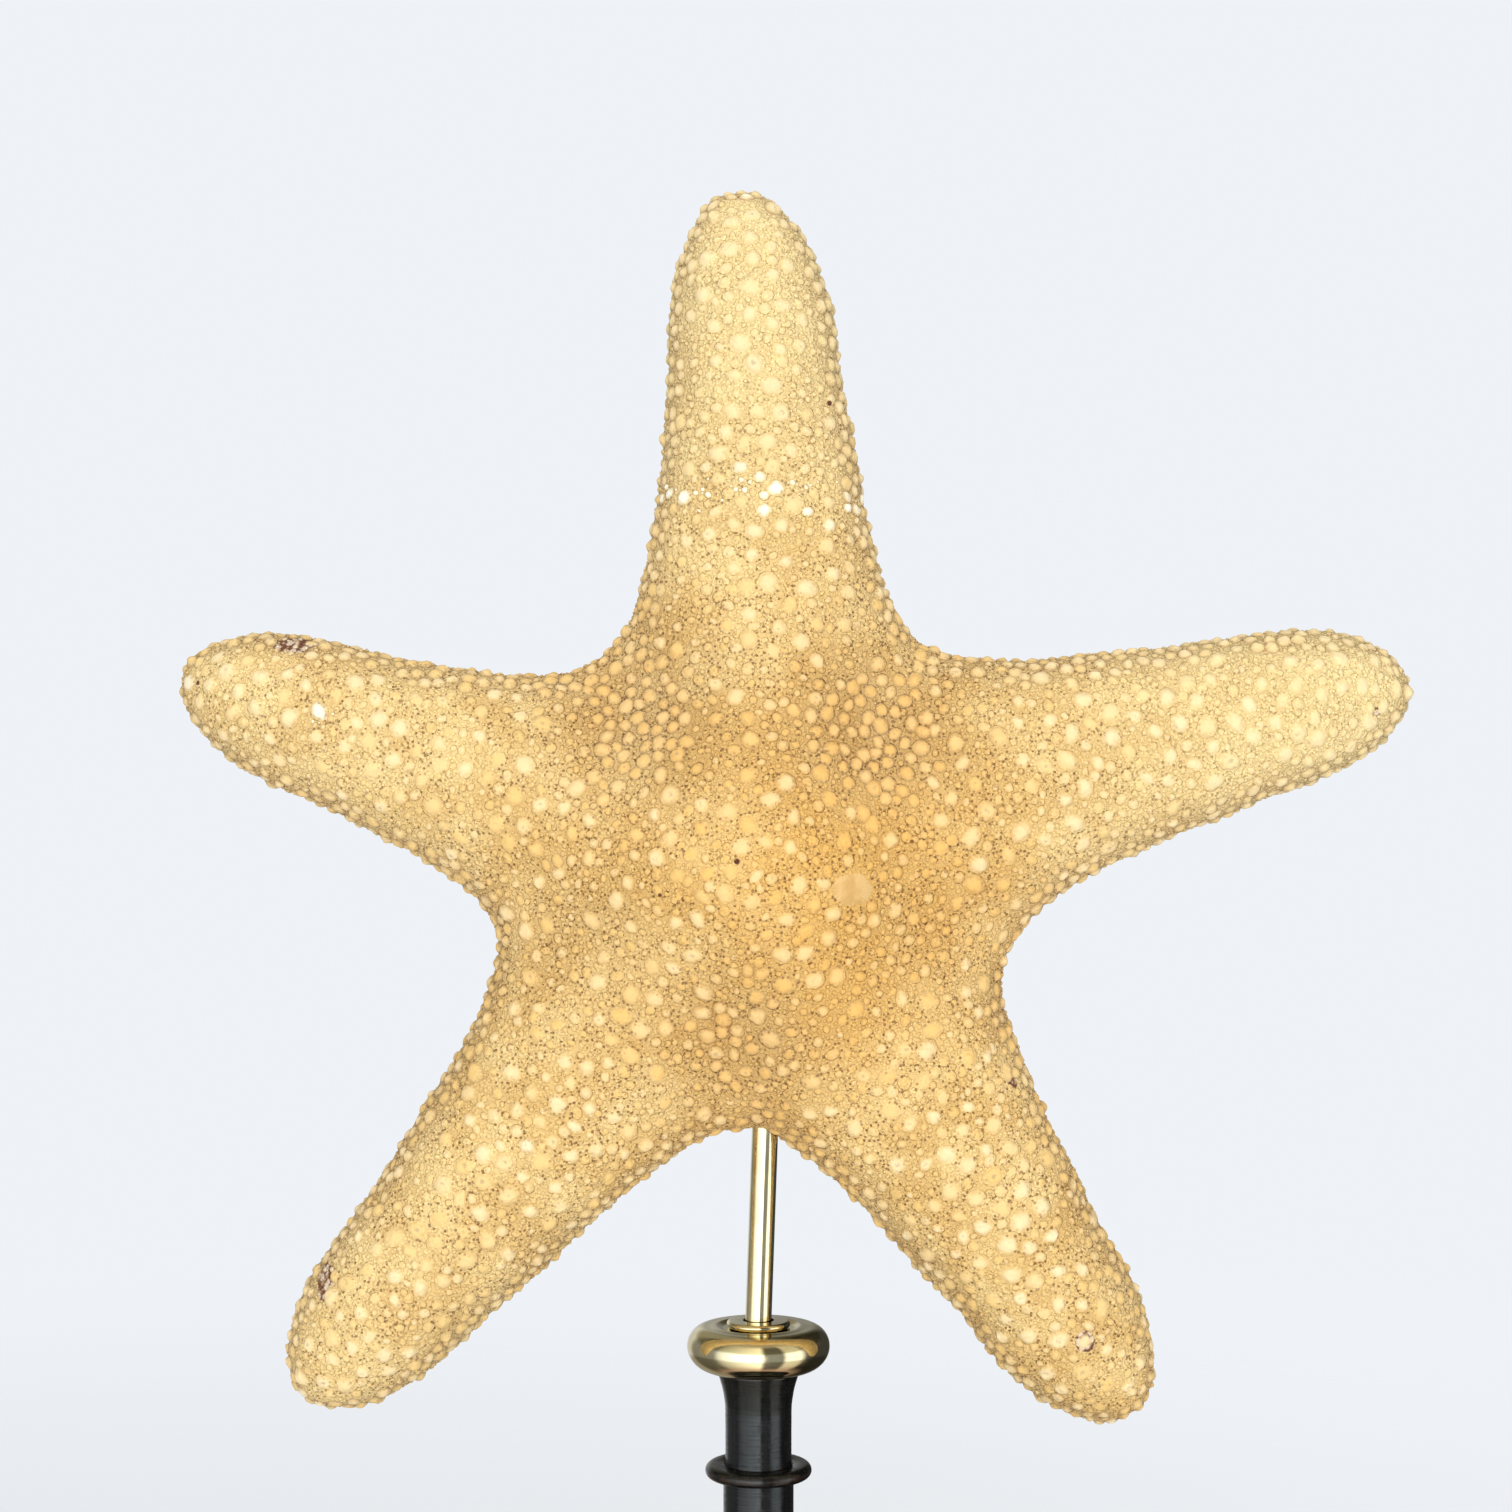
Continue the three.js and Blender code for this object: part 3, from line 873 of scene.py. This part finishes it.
def knob_finish():
    """A cap with a ragged soft edge on a foot of bare skin, with painted shade where packed knobs
    meet.
    """
    material, tree, shader, place = new_material("limy_knobs")
    bare, relief = ground(tree, place)
    cap = attribute(tree, "cap")
    ragged = times(tree, maths(tree, "SUBTRACT", fog(tree, place, 700), 0.5), 0.5)
    limy, chalky = cap_colour(tree)
    cover = maths(tree, "MAXIMUM", attribute(tree, "cover"), chalky)
    covered = between(tree, maths(tree, "ADD", cap, ragged), 0.03, 1.05)
    covered = times(tree, covered, cover)
    colour = blend_colours(tree, covered, bare, limy)
    # a grey mark in the pits of a few caps
    pit_mark = between(tree, attribute(tree, "whim"), 0.8, 0.82)
    pit_mark = times(tree, pit_mark, between(tree, cap, 0.92, 1.0))
    pit_mark = times(tree, pit_mark, between(tree, fog(tree, place, 900), 0.42, 0.58))
    pit_mark = times(tree, pit_mark, attribute(tree, "cover"))
    colour = tinted(tree, colour, pit_mark, 0.5, PIT_GREY)
    # painted shade where packed knobs meet, at their feet
    crease_shade = between(tree, cap, 0.05, 0.4, 0.6, 0.0)
    colour = tinted(tree, colour, attribute(tree, "packed"), crease_shade, CREASE_SHADE_COLOUR)
    # the larger holes get painted shade
    colour = blend_colours(tree, speck_share(tree, place), colour, HOLE_SHADE)
    uncovered = maths(tree, "SUBTRACT", 1.0, covered)
    fine = times(tree, fog(tree, place, 1500, 2), 0.5)
    relief = maths(tree, "ADD", times(tree, relief, uncovered), fine)
    shader.inputs["Roughness"].default_value = 0.66
    set_finish(tree, shader, colour, relief, 0.6, 0.00035)
    return material


skin.data.materials.append(skin_finish())
knob_material = knob_finish()

# %% [markdown]
# Five sizes go on in turn, largest first, each keeping clear of the ones before. The large ones
# stand apart along the ridges and on the disc. The flanks and the hollows between the arms are
# paved with middling ones that touch, and everything smaller fills what is left.

# %% Where each kind of knob grows
sound = (1 - maps["scar"]) * (1 - maps["plate"])
open_skin = maps["face"] * (1 - maps["packed"])
store(skin.data, "for_large", open_skin * sound * (0.5 + 0.5 * maps["ridge"]))
store(skin.data, "for_packed", maps["face"] * smooth(maps["packed"], 0.38, 0.72) * sound)
store(skin.data, "for_medium", maps["face"] * sound)
store(skin.data, "for_small", maps["face"] * (1 - maps["plate"]))


def join_meshes(name, pieces):
    form = bmesh.new()
    for piece in pieces:
        form.from_mesh(piece.data)
    return show(name, mesh_of(form, name))


# %% Scatter the knobs
KNOBS = {  # lengths in millimetres, Height as a share of the radius
    "large_knobs": dict(
        Where="for_large", Spacing=5.2, Smallest=2.1, Largest=3.1, Height=0.34, Stretch=0.35,
        Sides=16, Rings=6, Seed=4, Uneven=1.5, Paleness=0.68, Cover=1.0, Pit=0.3,
    ),
    "packed_knobs": dict(
        Where="for_packed", Spacing=3.2, Smallest=1.9, Largest=2.5, Height=0.38, Stretch=0.3,
        Sides=12, Rings=5, Seed=8, Uneven=1.3, Paleness=0.42, Cover=0.95, Clearance=1.0,
    ),
    "medium_knobs": dict(
        Where="for_medium", Spacing=3.2, Smallest=1.1, Largest=1.9, Height=0.4, Stretch=0.35,
        Sides=9, Rings=4, Seed=5, Uneven=1.0, Paleness=0.42, Cover=0.75, Clearance=0.6,
    ),
    "small_knobs": dict(
        Where="for_small", Spacing=1.9, Smallest=0.7, Largest=1.15, Height=0.5, Stretch=0.3,
        Sides=7, Rings=3, Seed=6, Uneven=0.6, Paleness=0.35, Cover=0.45, Clearance=0.3,
    ),
    "grains": dict(
        Where="for_small", Spacing=1.1, Smallest=0.4, Largest=0.62, Height=0.55, Stretch=0.2,
        Sides=5, Rings=2, Seed=7, Uneven=0.3, Paleness=0.3, Cover=0.3, Clearance=0.12,
    ),
}
LENGTHS = ("Spacing", "Smallest", "Largest", "Uneven", "Clearance", "Length", "Thickness")


def in_metres(values):
    return {key: value * MM if key in LENGTHS else value for key, value in values.items()}


def scatter(name, values, larger=()):
    """One kind of knob, kept clear of the larger pieces."""
    values = in_metres(values) | {"Material": knob_material}
    helper = join_meshes("larger", larger) if larger else None
    piece = run_tree(name, knob_tree, skin.data, values | {"Clear Of": helper})
    if helper:
        bpy.data.objects.remove(helper)
    return piece


knobs = []
for knob_name, knob_values in KNOBS.items():
    knobs.append(scatter(knob_name, knob_values, knobs))

# %% [markdown]
# The sieve plate is a smooth round stone beside the middle of the disc, through which the living
# animal let water in. It is a single low dome with fine winding furrows, small enough to be made
# point by point: rings of points are laid on the skin with rays and raised.

# %% Rays onto the skin
skin_tree = BVHTree.FromPolygons(
    [vertex.co for vertex in skin.data.vertices], [face.vertices for face in skin.data.polygons]
)
FAR_AWAY = 0.2


def touch(across, up, side=1):
    """Where the skin lies at a place of the star's plane, seen from behind or (-1) from in front."""
    start = Vector((across, FAR_AWAY * side, up))
    place, normal, _, _ = skin_tree.ray_cast(start, Vector((0, -side, 0)))
    return place, normal


# %% Sieve plate
PLATE_DARK, PLATE_LIGHT = (0.58, 0.35, 0.12, 1), (0.69, 0.45, 0.18, 1)
PLATE_RINGS, PLATE_SIDES, PLATE_FURROWS = 16, 120, 30
PLATE_HEIGHT, FURROW_DEPTH, PLATE_SUNK = 0.5 * MM, 0.07 * MM, 0.1 * MM
PLATE_UNEVEN = 0.12  # how far its outline is out of round
FURROW_BEND = 4  # how far the furrows wind, in radians of their own spacing


def sieve_finish():
    material, tree, shader, place = new_material("sieve_plate")
    blotch = between(tree, fog(tree, place, 300, 3), 0.35, 0.65)
    colour = blend_colours(tree, blotch, PLATE_DARK, PLATE_LIGHT)
    colour = tinted(tree, colour, attribute(tree, "furrow"), 0.18, SHADE_AND_BROWN)
    shader.inputs["Roughness"].default_value = 0.7
    set_finish(tree, shader, colour, fog(tree, place, 2500, 2), 0.4, 0.0002)
    return material


def make_sieve_plate():
    form = bmesh.new()
    rings, furrows = [], []
    for ring in range(PLATE_RINGS + 1):
        share = ring / PLATE_RINGS
        row = []
        for side in range(PLATE_SIDES if ring else 1):
            turn = 2 * math.pi * side / PLATE_SIDES
            way = Vector((math.cos(turn), math.sin(turn)))
            wobble = PLATE_UNEVEN * noise.noise(Vector((way.x, way.y, 3)) * 1.4)
            flat = way * share * (1 + wobble)
            across, up = (PLATE[i] + flat[i] * PLATE_SIZE[i] for i in (0, 1))
            place, normal = touch(across * MM, up * MM, -1)
            winding = noise.noise(Vector((flat.x, flat.y, 0)) * 3) * FURROW_BEND
            furrow = (0.5 + 0.5 * math.sin(turn * PLATE_FURROWS + winding)) * min(1, share * 2.5)
            dome, cut = PLATE_HEIGHT * (1 - share**4), FURROW_DEPTH * furrow * (1 - share**6)
            row.append(form.verts.new(place + normal * (dome - cut - PLATE_SUNK)))
            furrows.append(furrow)
        rings.append(row)
    for inner, outer in zip(rings, rings[1:]):
        for side in range(PLATE_SIDES):
            after = (side + 1) % PLATE_SIDES
            corners = [inner[side % len(inner)], outer[side], outer[after], inner[after % len(inner)]]
            form.faces.new(list(dict.fromkeys(corners)))
    form.faces.new(rings[-1])
    bmesh.ops.recalc_face_normals(form, faces=form.faces)
    mesh = mesh_of(form, "sieve_plate")
    mesh.shade_smooth()
    store(mesh, "furrow", np.array(furrows))
    mesh.materials.append(sieve_finish())
    return show("sieve_plate", mesh)


sieve_plate = make_sieve_plate()
print("sieve plate:", triangles(sieve_plate.data), "triangles")

# %% [markdown]
# On the mouth side a groove runs down every arm from the mouth. Two rows of shrunken tube feet lie
# in it, rows of blunt limy spines stand along both its edges, and flat granules pave the rest. The
# rows follow paths that are laid on the skin with rays, and one tree sets the spines along them.

# %% Paths on the mouth side
def arm_place(arm, along, aside):
    """A place on the star's plane by its distance along an arm's bowed middle and to its side."""
    share = along / (ARMS[arm]["reach"] * MM)
    sideways = aside + arm_bows[arm] * 4 * share * (1 - share)
    way = arm_ways[arm]
    return CENTRE + way * along + np.array((-way[1], way[0])) * sideways


PATH_STEPS, MOUTH_STEPS = 40, 72
SQUEEZE = 0.3  # how much nearer to the arm's middle a row is at its outer end


def path_mesh(name, lines):
    """Edges through each line of (place, lean, size)."""
    mesh = bpy.data.meshes.new(name)
    places, edges, leans, sizes = [], [], [], []
    for line in lines:
        start = len(places)
        edges += [(start + i, start + i + 1) for i in range(len(line) - 1)]
        for place, lean, size in line:
            places.append(place)
            leans.append(lean)
            sizes.append(size)
    mesh.from_pydata(places, edges, [])
    store(mesh, "lean", np.array(leans, float))
    store(mesh, "size", np.array(sizes, float))
    return mesh


def arm_lines(aside, lean_in, first, last=0.93, end_size=0.55):
    """Two lines along every arm at a distance to both sides of its middle."""
    lines = []
    for arm in range(len(ARMS)):
        for side in (-1, 1):
            line = []
            for step in range(PATH_STEPS + 1):
                share = step / PATH_STEPS
                along = first * MM + (last * arm_reaches[arm] - first * MM) * share
                squeeze = 1 - SQUEEZE * share**3
                place, normal = touch(*arm_place(arm, along, side * aside * MM * squeeze))
                inwards = Vector((arm_ways[arm][1], 0, -arm_ways[arm][0])) * side
                line.append((place, normal + inwards * lean_in, 1 + (end_size - 1) * share))
            lines.append(line)
    return lines


def mouth_lines(radius, lean_in):
    """A ring round the mouth whose spines lean over it."""
    line = []
    for step in range(MOUTH_STEPS + 1):
        turn = 2 * math.pi * step / MOUTH_STEPS
        out = np.array((math.cos(turn), math.sin(turn)))
        place, normal = touch(*(CENTRE + out * radius * MM))
        line.append((place, normal * 0.6 - Vector((out[0], 0, out[1])) * lean_in, 1.0))
    return [line]


# %% The tree for rows of spines
SPINE_PROFILE = [(0, 0.8), (0.45, 1), (0.8, 0.92), (0.94, 0.66), (1, 0.35)]
SPINE_ROOT = 0.2  # share of a spine that is under the skin


def spine(tree, sides, rings):
    """A blunt upright spine of radius 1 and length 1."""
    bar = add_node(
        tree,
        "GeometryNodeMeshCylinder",
        {"Vertices": sides, "Side Segments": rings, "Radius": 1.0, "Depth": 1.0},
        fill_type="TRIANGLE_FAN",
    )
    place = add_node(tree, "GeometryNodeInputPosition").outputs[0]
    height = maths(tree, "ADD", add_node(tree, "ShaderNodeSeparateXYZ", {0: place}).outputs["Z"], 0.5)
    flat = vectors(tree, "MULTIPLY", place, (1, 1, 0))
    middle = maths(tree, "LESS_THAN", vectors(tree, "LENGTH", flat), 0.01)
    bulge = times(tree, middle, 0.06)
    round_top = times(tree, bulge, maths(tree, "SUBTRACT", height, 0.5))
    raised = maths(tree, "ADD", maths(tree, "SUBTRACT", height, SPINE_ROOT), round_top)
    flat = vectors(tree, "SCALE", flat, Scale=profile(tree, height, SPINE_PROFILE))
    up = add_node(tree, "ShaderNodeCombineXYZ", {"Z": raised}).outputs[0]
    shaped = add_node(
        tree,
        "GeometryNodeSetPosition",
        {"Geometry": bar.outputs["Mesh"], "Position": vectors(tree, "ADD", flat, up)},
    )
    return keep(tree, shaped.outputs[0], "cap", height)


def row_tree():
    tree = new_tree(
        "rows of spines",
        [
            ("Spacing", "Float", 0.002),
            ("Length", "Float", 0.003),
            ("Thickness", "Float", 0.001),
            ("Flat", "Float", 0.8),
            ("Jitter", "Float", 0.3),
            ("Sides", "Int", 7),
            ("Rings", "Int", 4),
            ("Seed", "Int", 1),
            ("Paleness", "Float", 0.5),
            ("Material", "Material", None),
        ],
    )
    given = add_node(tree, "NodeGroupInput").outputs
    curve = add_node(tree, "GeometryNodeMeshToCurve", {"Mesh": given["Geometry"]})
    even = add_node(
        tree,
        "GeometryNodeResampleCurve",
        {"Curve": curve.outputs[0], "Length": given["Spacing"]},
        mode="LENGTH",
    )
    dots = add_node(tree, "GeometryNodeCurveToPoints", {"Curve": even.outputs[0]}, mode="EVALUATED")
    chance = add_node(
        tree,
        "FunctionNodeRandomValue",
        {"Min": (-1, -1, -1), "Max": (1, 1, 1), "Seed": given["Seed"]},
        data_type="FLOAT_VECTOR",
    )
    lean = vectors(tree, "NORMALIZE", named(tree, "lean", "FLOAT_VECTOR"))
    lean = vectors(tree, "ADD", lean, vectors(tree, "SCALE", chance.outputs[0], Scale=given["Jitter"]))
    faced = stand_on(tree, lean, dots.outputs["Tangent"], "X")
    vary = between(tree, random_share(tree, 21), 0, 1, 0.8, 1.15)
    size = times(tree, named(tree, "size"), vary)
    thick = times(tree, given["Thickness"], size)
    flat, long = times(tree, thick, given["Flat"]), times(tree, given["Length"], size)
    scale = add_node(tree, "ShaderNodeCombineXYZ", {"X": thick, "Y": flat, "Z": long}).outputs[0]
    shade = maths(tree, "ADD", random_share(tree, 22), maths(tree, "SUBTRACT", given["Paleness"], 0.5))
    marked = keep(tree, dots.outputs["Points"], "shade", shade)
    marked = keep(tree, marked, "cover", 1.0)
    one = spine(tree, given["Sides"], given["Rings"])
    return close_tree(tree, set_out(tree, marked, one, faced, scale), given["Material"])


spine_tree = row_tree()


# %% Tube feet
LEATHER_DARK, LEATHER_LIGHT = (0.26, 0.12, 0.045, 1), (0.48, 0.27, 0.11, 1)
PALE_END = (0.62, 0.42, 0.2, 1)


def feet_finish():
    """Leathery brown, a little shiny, paler at the ends."""
    material, tree, shader, place = new_material("dried_tube_feet")
    blotch = between(tree, fog(tree, place, 500, 3), 0.35, 0.65)
    colour = blend_colours(tree, blotch, LEATHER_DARK, LEATHER_LIGHT)
    tip = between(tree, attribute(tree, "cap"), 0.7, 1.0, 0.0, 0.6)
    colour = blend_colours(tree, tip, colour, PALE_END)
    shader.inputs["Roughness"].default_value = 0.5
    set_finish(tree, shader, colour, fog(tree, place, 2200, 3), 0.7, 0.0003)
    return material


feet_material = feet_finish()

# %% Rows on the mouth side
ROWS = {  # the lines, then the tree's inputs with lengths in millimetres
    "tube_feet": (
        arm_lines(1.5, 0.1, 9, 0.9, 0.6),
        dict(Spacing=2.1, Length=2.6, Thickness=0.75, Flat=0.9, Jitter=0.5, Sides=7, Rings=4, Seed=31),
    ),
    "groove_spines": (
        arm_lines(4.6, 0.85, 11),
        dict(Spacing=1.75, Length=4.2, Thickness=0.75, Flat=0.6, Jitter=0.14, Sides=7, Rings=4,
             Seed=32, Paleness=0.7),
    ),
    "edge_spines": (
        arm_lines(6.9, 0.1, 13),
        dict(Spacing=2.3, Length=3.8, Thickness=0.95, Flat=0.85, Jitter=0.16, Sides=8, Rings=4,
             Seed=33, Paleness=0.75),
    ),
    "outer_spines": (
        arm_lines(9.8, -0.3, 17, 0.9, 0.5),
        dict(Spacing=3.3, Length=3.6, Thickness=1.3, Flat=0.9, Jitter=0.2, Sides=9, Rings=4,
             Seed=34, Paleness=0.8),
    ),
    "mouth_spines": (
        mouth_lines(8.6, 0.9),
        dict(Spacing=1.9, Length=6.0, Thickness=0.8, Flat=0.7, Jitter=0.1, Sides=8, Rings=5,
             Seed=35, Paleness=0.8),
    ),
}
rows = []
for row_name, (row_lines, row_values) in ROWS.items():
    finish = feet_material if row_name == "tube_feet" else knob_material
    row_values = in_metres(row_values) | {"Material": finish}
    rows.append(run_tree(row_name, spine_tree, path_mesh(row_name, row_lines), row_values))

# %% Granules on the mouth side
PAVEMENT = dict(
    Where="plain", Spacing=2.15, Smallest=1.0, Largest=1.5, Height=0.5, Stretch=0.25,
    Sides=7, Rings=2, Seed=9, Uneven=0.6, Paleness=0.55, Cover=0.9, Clearance=0.35,
)
pavement = scatter("pavement", PAVEMENT, rows + knobs[:2])

# %% [markdown]
# The stand is turned work: a brass rod, washer and collar on an ebonised stem and base. A turned
# piece is one profile swept round an axis, so a short function makes all of them from lists of
# radius and height. The CAD's profiles are followed exactly, only with many more steps.

# %% Turned pieces
CREASE_ANGLE = 38  # degrees from which an edge stays sharp


def round_edge(radius, height, bulge, rise, start, end, steps=14):
    """Points of a round on a profile, from one angle to another in degrees."""
    points = []
    for step in range(steps + 1):
        angle = math.radians(start + (end - start) * step / steps)
        points.append((radius + bulge * math.cos(angle), height + rise * math.sin(angle)))
    return points


def flowing(points, steps=8):
    """A smooth line through points of a profile."""
    line = []
    padded = [points[0], *points, points[-1]]
    for before, start, end, after in zip(padded, padded[1:], padded[2:], padded[3:]):
        for step in range(steps):
            t = step / steps
            line.append(
                tuple(
                    0.5 * (2 * q + (r - p) * t + (2 * p - 5 * q + 4 * r - s) * t**2
                           + (3 * q - p - 3 * r + s) * t**3)
                    for p, q, r, s in zip(before, start, end, after)
                )
            )
    return [*line, points[-1]]


def turned(name, outline, material, lift=0.0, sides=96, closed=False):
    """A piece turned about the upright axis from (radius, height) pairs in millimetres."""
    form = bmesh.new()
    rings = []
    for radius, height in outline:
        count = 1 if radius == 0 else sides
        ring = []
        for turn in (2 * math.pi * side / sides for side in range(count)):
            place = Vector((radius * math.cos(turn), radius * math.sin(turn), height + lift))
            ring.append(form.verts.new(place * MM))
        rings.append(ring)
    pairs = list(zip(rings, rings[1:]))
    if closed:
        pairs.append((rings[-1], rings[0]))
    for low, high in pairs:
        for side in range(sides):
            after = (side + 1) % sides
            corners = [low[side % len(low)], low[after % len(low)]]
            corners += [high[after % len(high)], high[side % len(high)]]
            corners = list(dict.fromkeys(corners))
            if len(corners) > 2:
                form.faces.new(corners)
    bmesh.ops.recalc_face_normals(form, faces=form.faces)
    mesh = mesh_of(form, name)
    mesh.shade_smooth()
    mesh.set_sharp_from_angle(angle=math.radians(CREASE_ANGLE))
    mesh.materials.append(material)
    print(name, triangles(mesh), "triangles")
    return show(name, mesh)


# %% [markdown]
# Brass that has been handled is bright but not perfect: faint lines from polishing, soft smudges
# that dull it in places, and a slight tarnish. Ebonised wood is near black and satin, with rings
# from the turning tool and brown showing where edges have rubbed.

# %% Brass and black wood
BRASS, TARNISH = (0.90, 0.83, 0.56, 1), (0.74, 0.64, 0.39, 1)
BLACK, SOOT = (0.003, 0.003, 0.003, 1), (0.008, 0.0075, 0.007, 1)
RUBBED = (0.10, 0.042, 0.02, 1)
LACQUER_TINT = (0.86, 0.95, 1, 1)


def brushed(tree, place, stretch):
    """Noise drawn out along the directions with a small stretch."""
    drawn = vectors(tree, "MULTIPLY", place, stretch)
    return fog(tree, drawn, 1.0, 3)


def brass_finish(name, stretch):
    material, tree, shader, place = new_material(name)
    tarnish = between(tree, fog(tree, place, 90, 4, 0.6), 0.35, 0.75)
    colour = blend_colours(tree, tarnish, BRASS, TARNISH)
    smudge = between(tree, fog(tree, place, 160, 4, 0.65), 0.42, 0.7, 0.06, 0.2)
    tree.links.new(smudge, shader.inputs["Roughness"])
    shader.inputs["Metallic"].default_value = 1.0
    set_finish(tree, shader, colour, brushed(tree, place, stretch), 0.06, 0.0001)
    return material


def black_wood_finish():
    material, tree, shader, place = new_material("black_wood")
    grain = brushed(tree, place, (900, 900, 70))
    colour = blend_colours(tree, between(tree, grain, 0.35, 0.7), BLACK, SOOT)
    rubbed = maths(tree, "ADD", attribute(tree, "edge"), fog(tree, place, 260, 4, 0.7))
    rubbed = between(tree, rubbed, 1.35, 1.75, 0.0, 0.35)
    colour = blend_colours(tree, rubbed, colour, RUBBED)
    rings = brushed(tree, place, (110, 110, 1400))
    dull = maths(tree, "ADD", fog(tree, place, 420, 3, 0.6), rings)
    tree.links.new(between(tree, dull, 0.8, 1.25, 0.07, 0.3), shader.inputs["Roughness"])
    shader.inputs["IOR"].default_value = 1.5
    shader.inputs["Specular Tint"].default_value = LACQUER_TINT
    set_finish(tree, shader, colour, rings, 0.35, 0.0002)
    return material


rod_brass = brass_finish("drawn_brass", (3200, 3200, 50))
turned_brass = brass_finish("turned_brass", (500, 500, 4200))
black_wood = black_wood_finish()

# %% Heights of the stand, as in the CAD solids
STEM_BOTTOM = 18.1
STEM_HEIGHT = 107.3
COLLAR_BOTTOM = 125.5
COLLAR_HEIGHT = 11
WASHER_BOTTOM = 136.0
WASHER_HEIGHT = 1.7
ROD_RADIUS = 3.2
ROD_LEAN = 2
ROD_ENDS = (103.4, 216.5)
BEAD_HEIGHT = 83.1

# %% Rod, washer and collar
def make_rod():
    """The leaning rod, whose line crosses the stem's axis at the washer's top."""
    crossing = WASHER_BOTTOM + WASHER_HEIGHT
    low, high = (end - crossing for end in ROD_ENDS)
    bevel = 0.4
    outline = [
        (0, low), (ROD_RADIUS - bevel, low), (ROD_RADIUS, low + bevel),
        (ROD_RADIUS, high - bevel), (ROD_RADIUS - bevel, high), (0, high),
    ]
    rod = turned("brass_rod", outline, rod_brass, sides=64)
    lean = Matrix.Rotation(math.radians(ROD_LEAN), 4, "Y")
    rod.data.transform(Matrix.Translation((0, 0, crossing * MM)) @ lean)
    return rod


rod = make_rod()
washer = turned(
    "brass_washer",
    [(3.8, 0), *round_edge(6.95, 0.85, 0.85, 0.85, -90, 90), (3.8, WASHER_HEIGHT)],
    turned_brass,
    WASHER_BOTTOM,
    closed=True,
)
collar = turned(
    "brass_collar",
    [
        (4.1, 0), (10.1, 0), *round_edge(11.2, 6, 6.2, 5.76, -70, 0, 18),
        *round_edge(12.9, 6, 4.5, 4.8, 4, 90, 20),
        *flowing([(11.9, 10.85), (10.9, 10.97), (10.3, COLLAR_HEIGHT)], 4), (9.9, 10.9),
        (8.9, 10.45), (8.6, 10.4), (4.1, 10.4),
    ],
    turned_brass,
    COLLAR_BOTTOM,
    closed=True,
)

# %% Stem and base
stem = turned(
    "black_stem",
    [
        (0, -11), (6, -11), (6, 0), (11.2, 0), (11.5, 0.3), (11.5, 2.7), (11.2, 3),
        *flowing([(10.6, 3.3), (9.25, 5), (7.3, 7.6), (7, 9), (7.6, 11), (10.2, 14)]),
        *round_edge(10, 30, 2.8, 17, -50, 88, 24),
        *flowing([(9.6, 51), (8.9, 58), (8.6, 71), (8.6, BEAD_HEIGHT - 2.1)], 6),
        *round_edge(11.4, BEAD_HEIGHT, 1.6, 1.6, -90, 90),
        *flowing([(8.5, BEAD_HEIGHT + 1.7), (8.1, BEAD_HEIGHT + 2.6), (8.1, 97)], 5),
        *flowing([(8.15, 99), (8.8, 103), (10.0, 107)]), (9.9, STEM_HEIGHT), (0, STEM_HEIGHT),
    ],
    black_wood,
    STEM_BOTTOM,
)
base = turned(
    "black_base",
    [
        (0, 0), (62.25, 0), *round_edge(60.5, 4, 3.5, 3.5, -45, 90), (57.6, 7.6), (57, 8),
        *round_edge(56, 17, 32, 8, -100, -165, 24), (20, 16.8), (17.6, 17.7), (17, 18), (6.3, 18),
        (6.3, 6.4), (0, 6.4),
    ],
    black_wood,
)


def mark_edges(piece, heights, spread=1.2):
    """Stores where a turned piece is rubbed: round the given heights."""
    places = read_points(piece.data)
    near = sum(bell(places[:, 2] - height * MM, spread * MM) for height in heights)
    wide = np.hypot(places[:, 0], places[:, 1]) > 9.9 * MM
    store(piece.data, "edge", np.clip(near, 0, 1) * wide)


mark_edges(stem, [STEM_BOTTOM + STEM_HEIGHT, STEM_BOTTOM + BEAD_HEIGHT, STEM_BOTTOM + 3])
mark_edges(base, [8, 17.5])

# %% Fasten the pieces to the frame
DRIED_SKIN = [skin, *knobs, sieve_plate, *rows, pavement]
for piece in DRIED_SKIN:
    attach(piece, "root")
    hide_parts("starfish")
for piece, node, slot in (
    (rod, "rod", "brass"),
    (washer, "washer", "brass"),
    (collar, "collar", "brass"),
    (stem, "stem", "black_wood"),
    (base, "base", "black_wood"),
):
    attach(piece, "root")
    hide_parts(node)
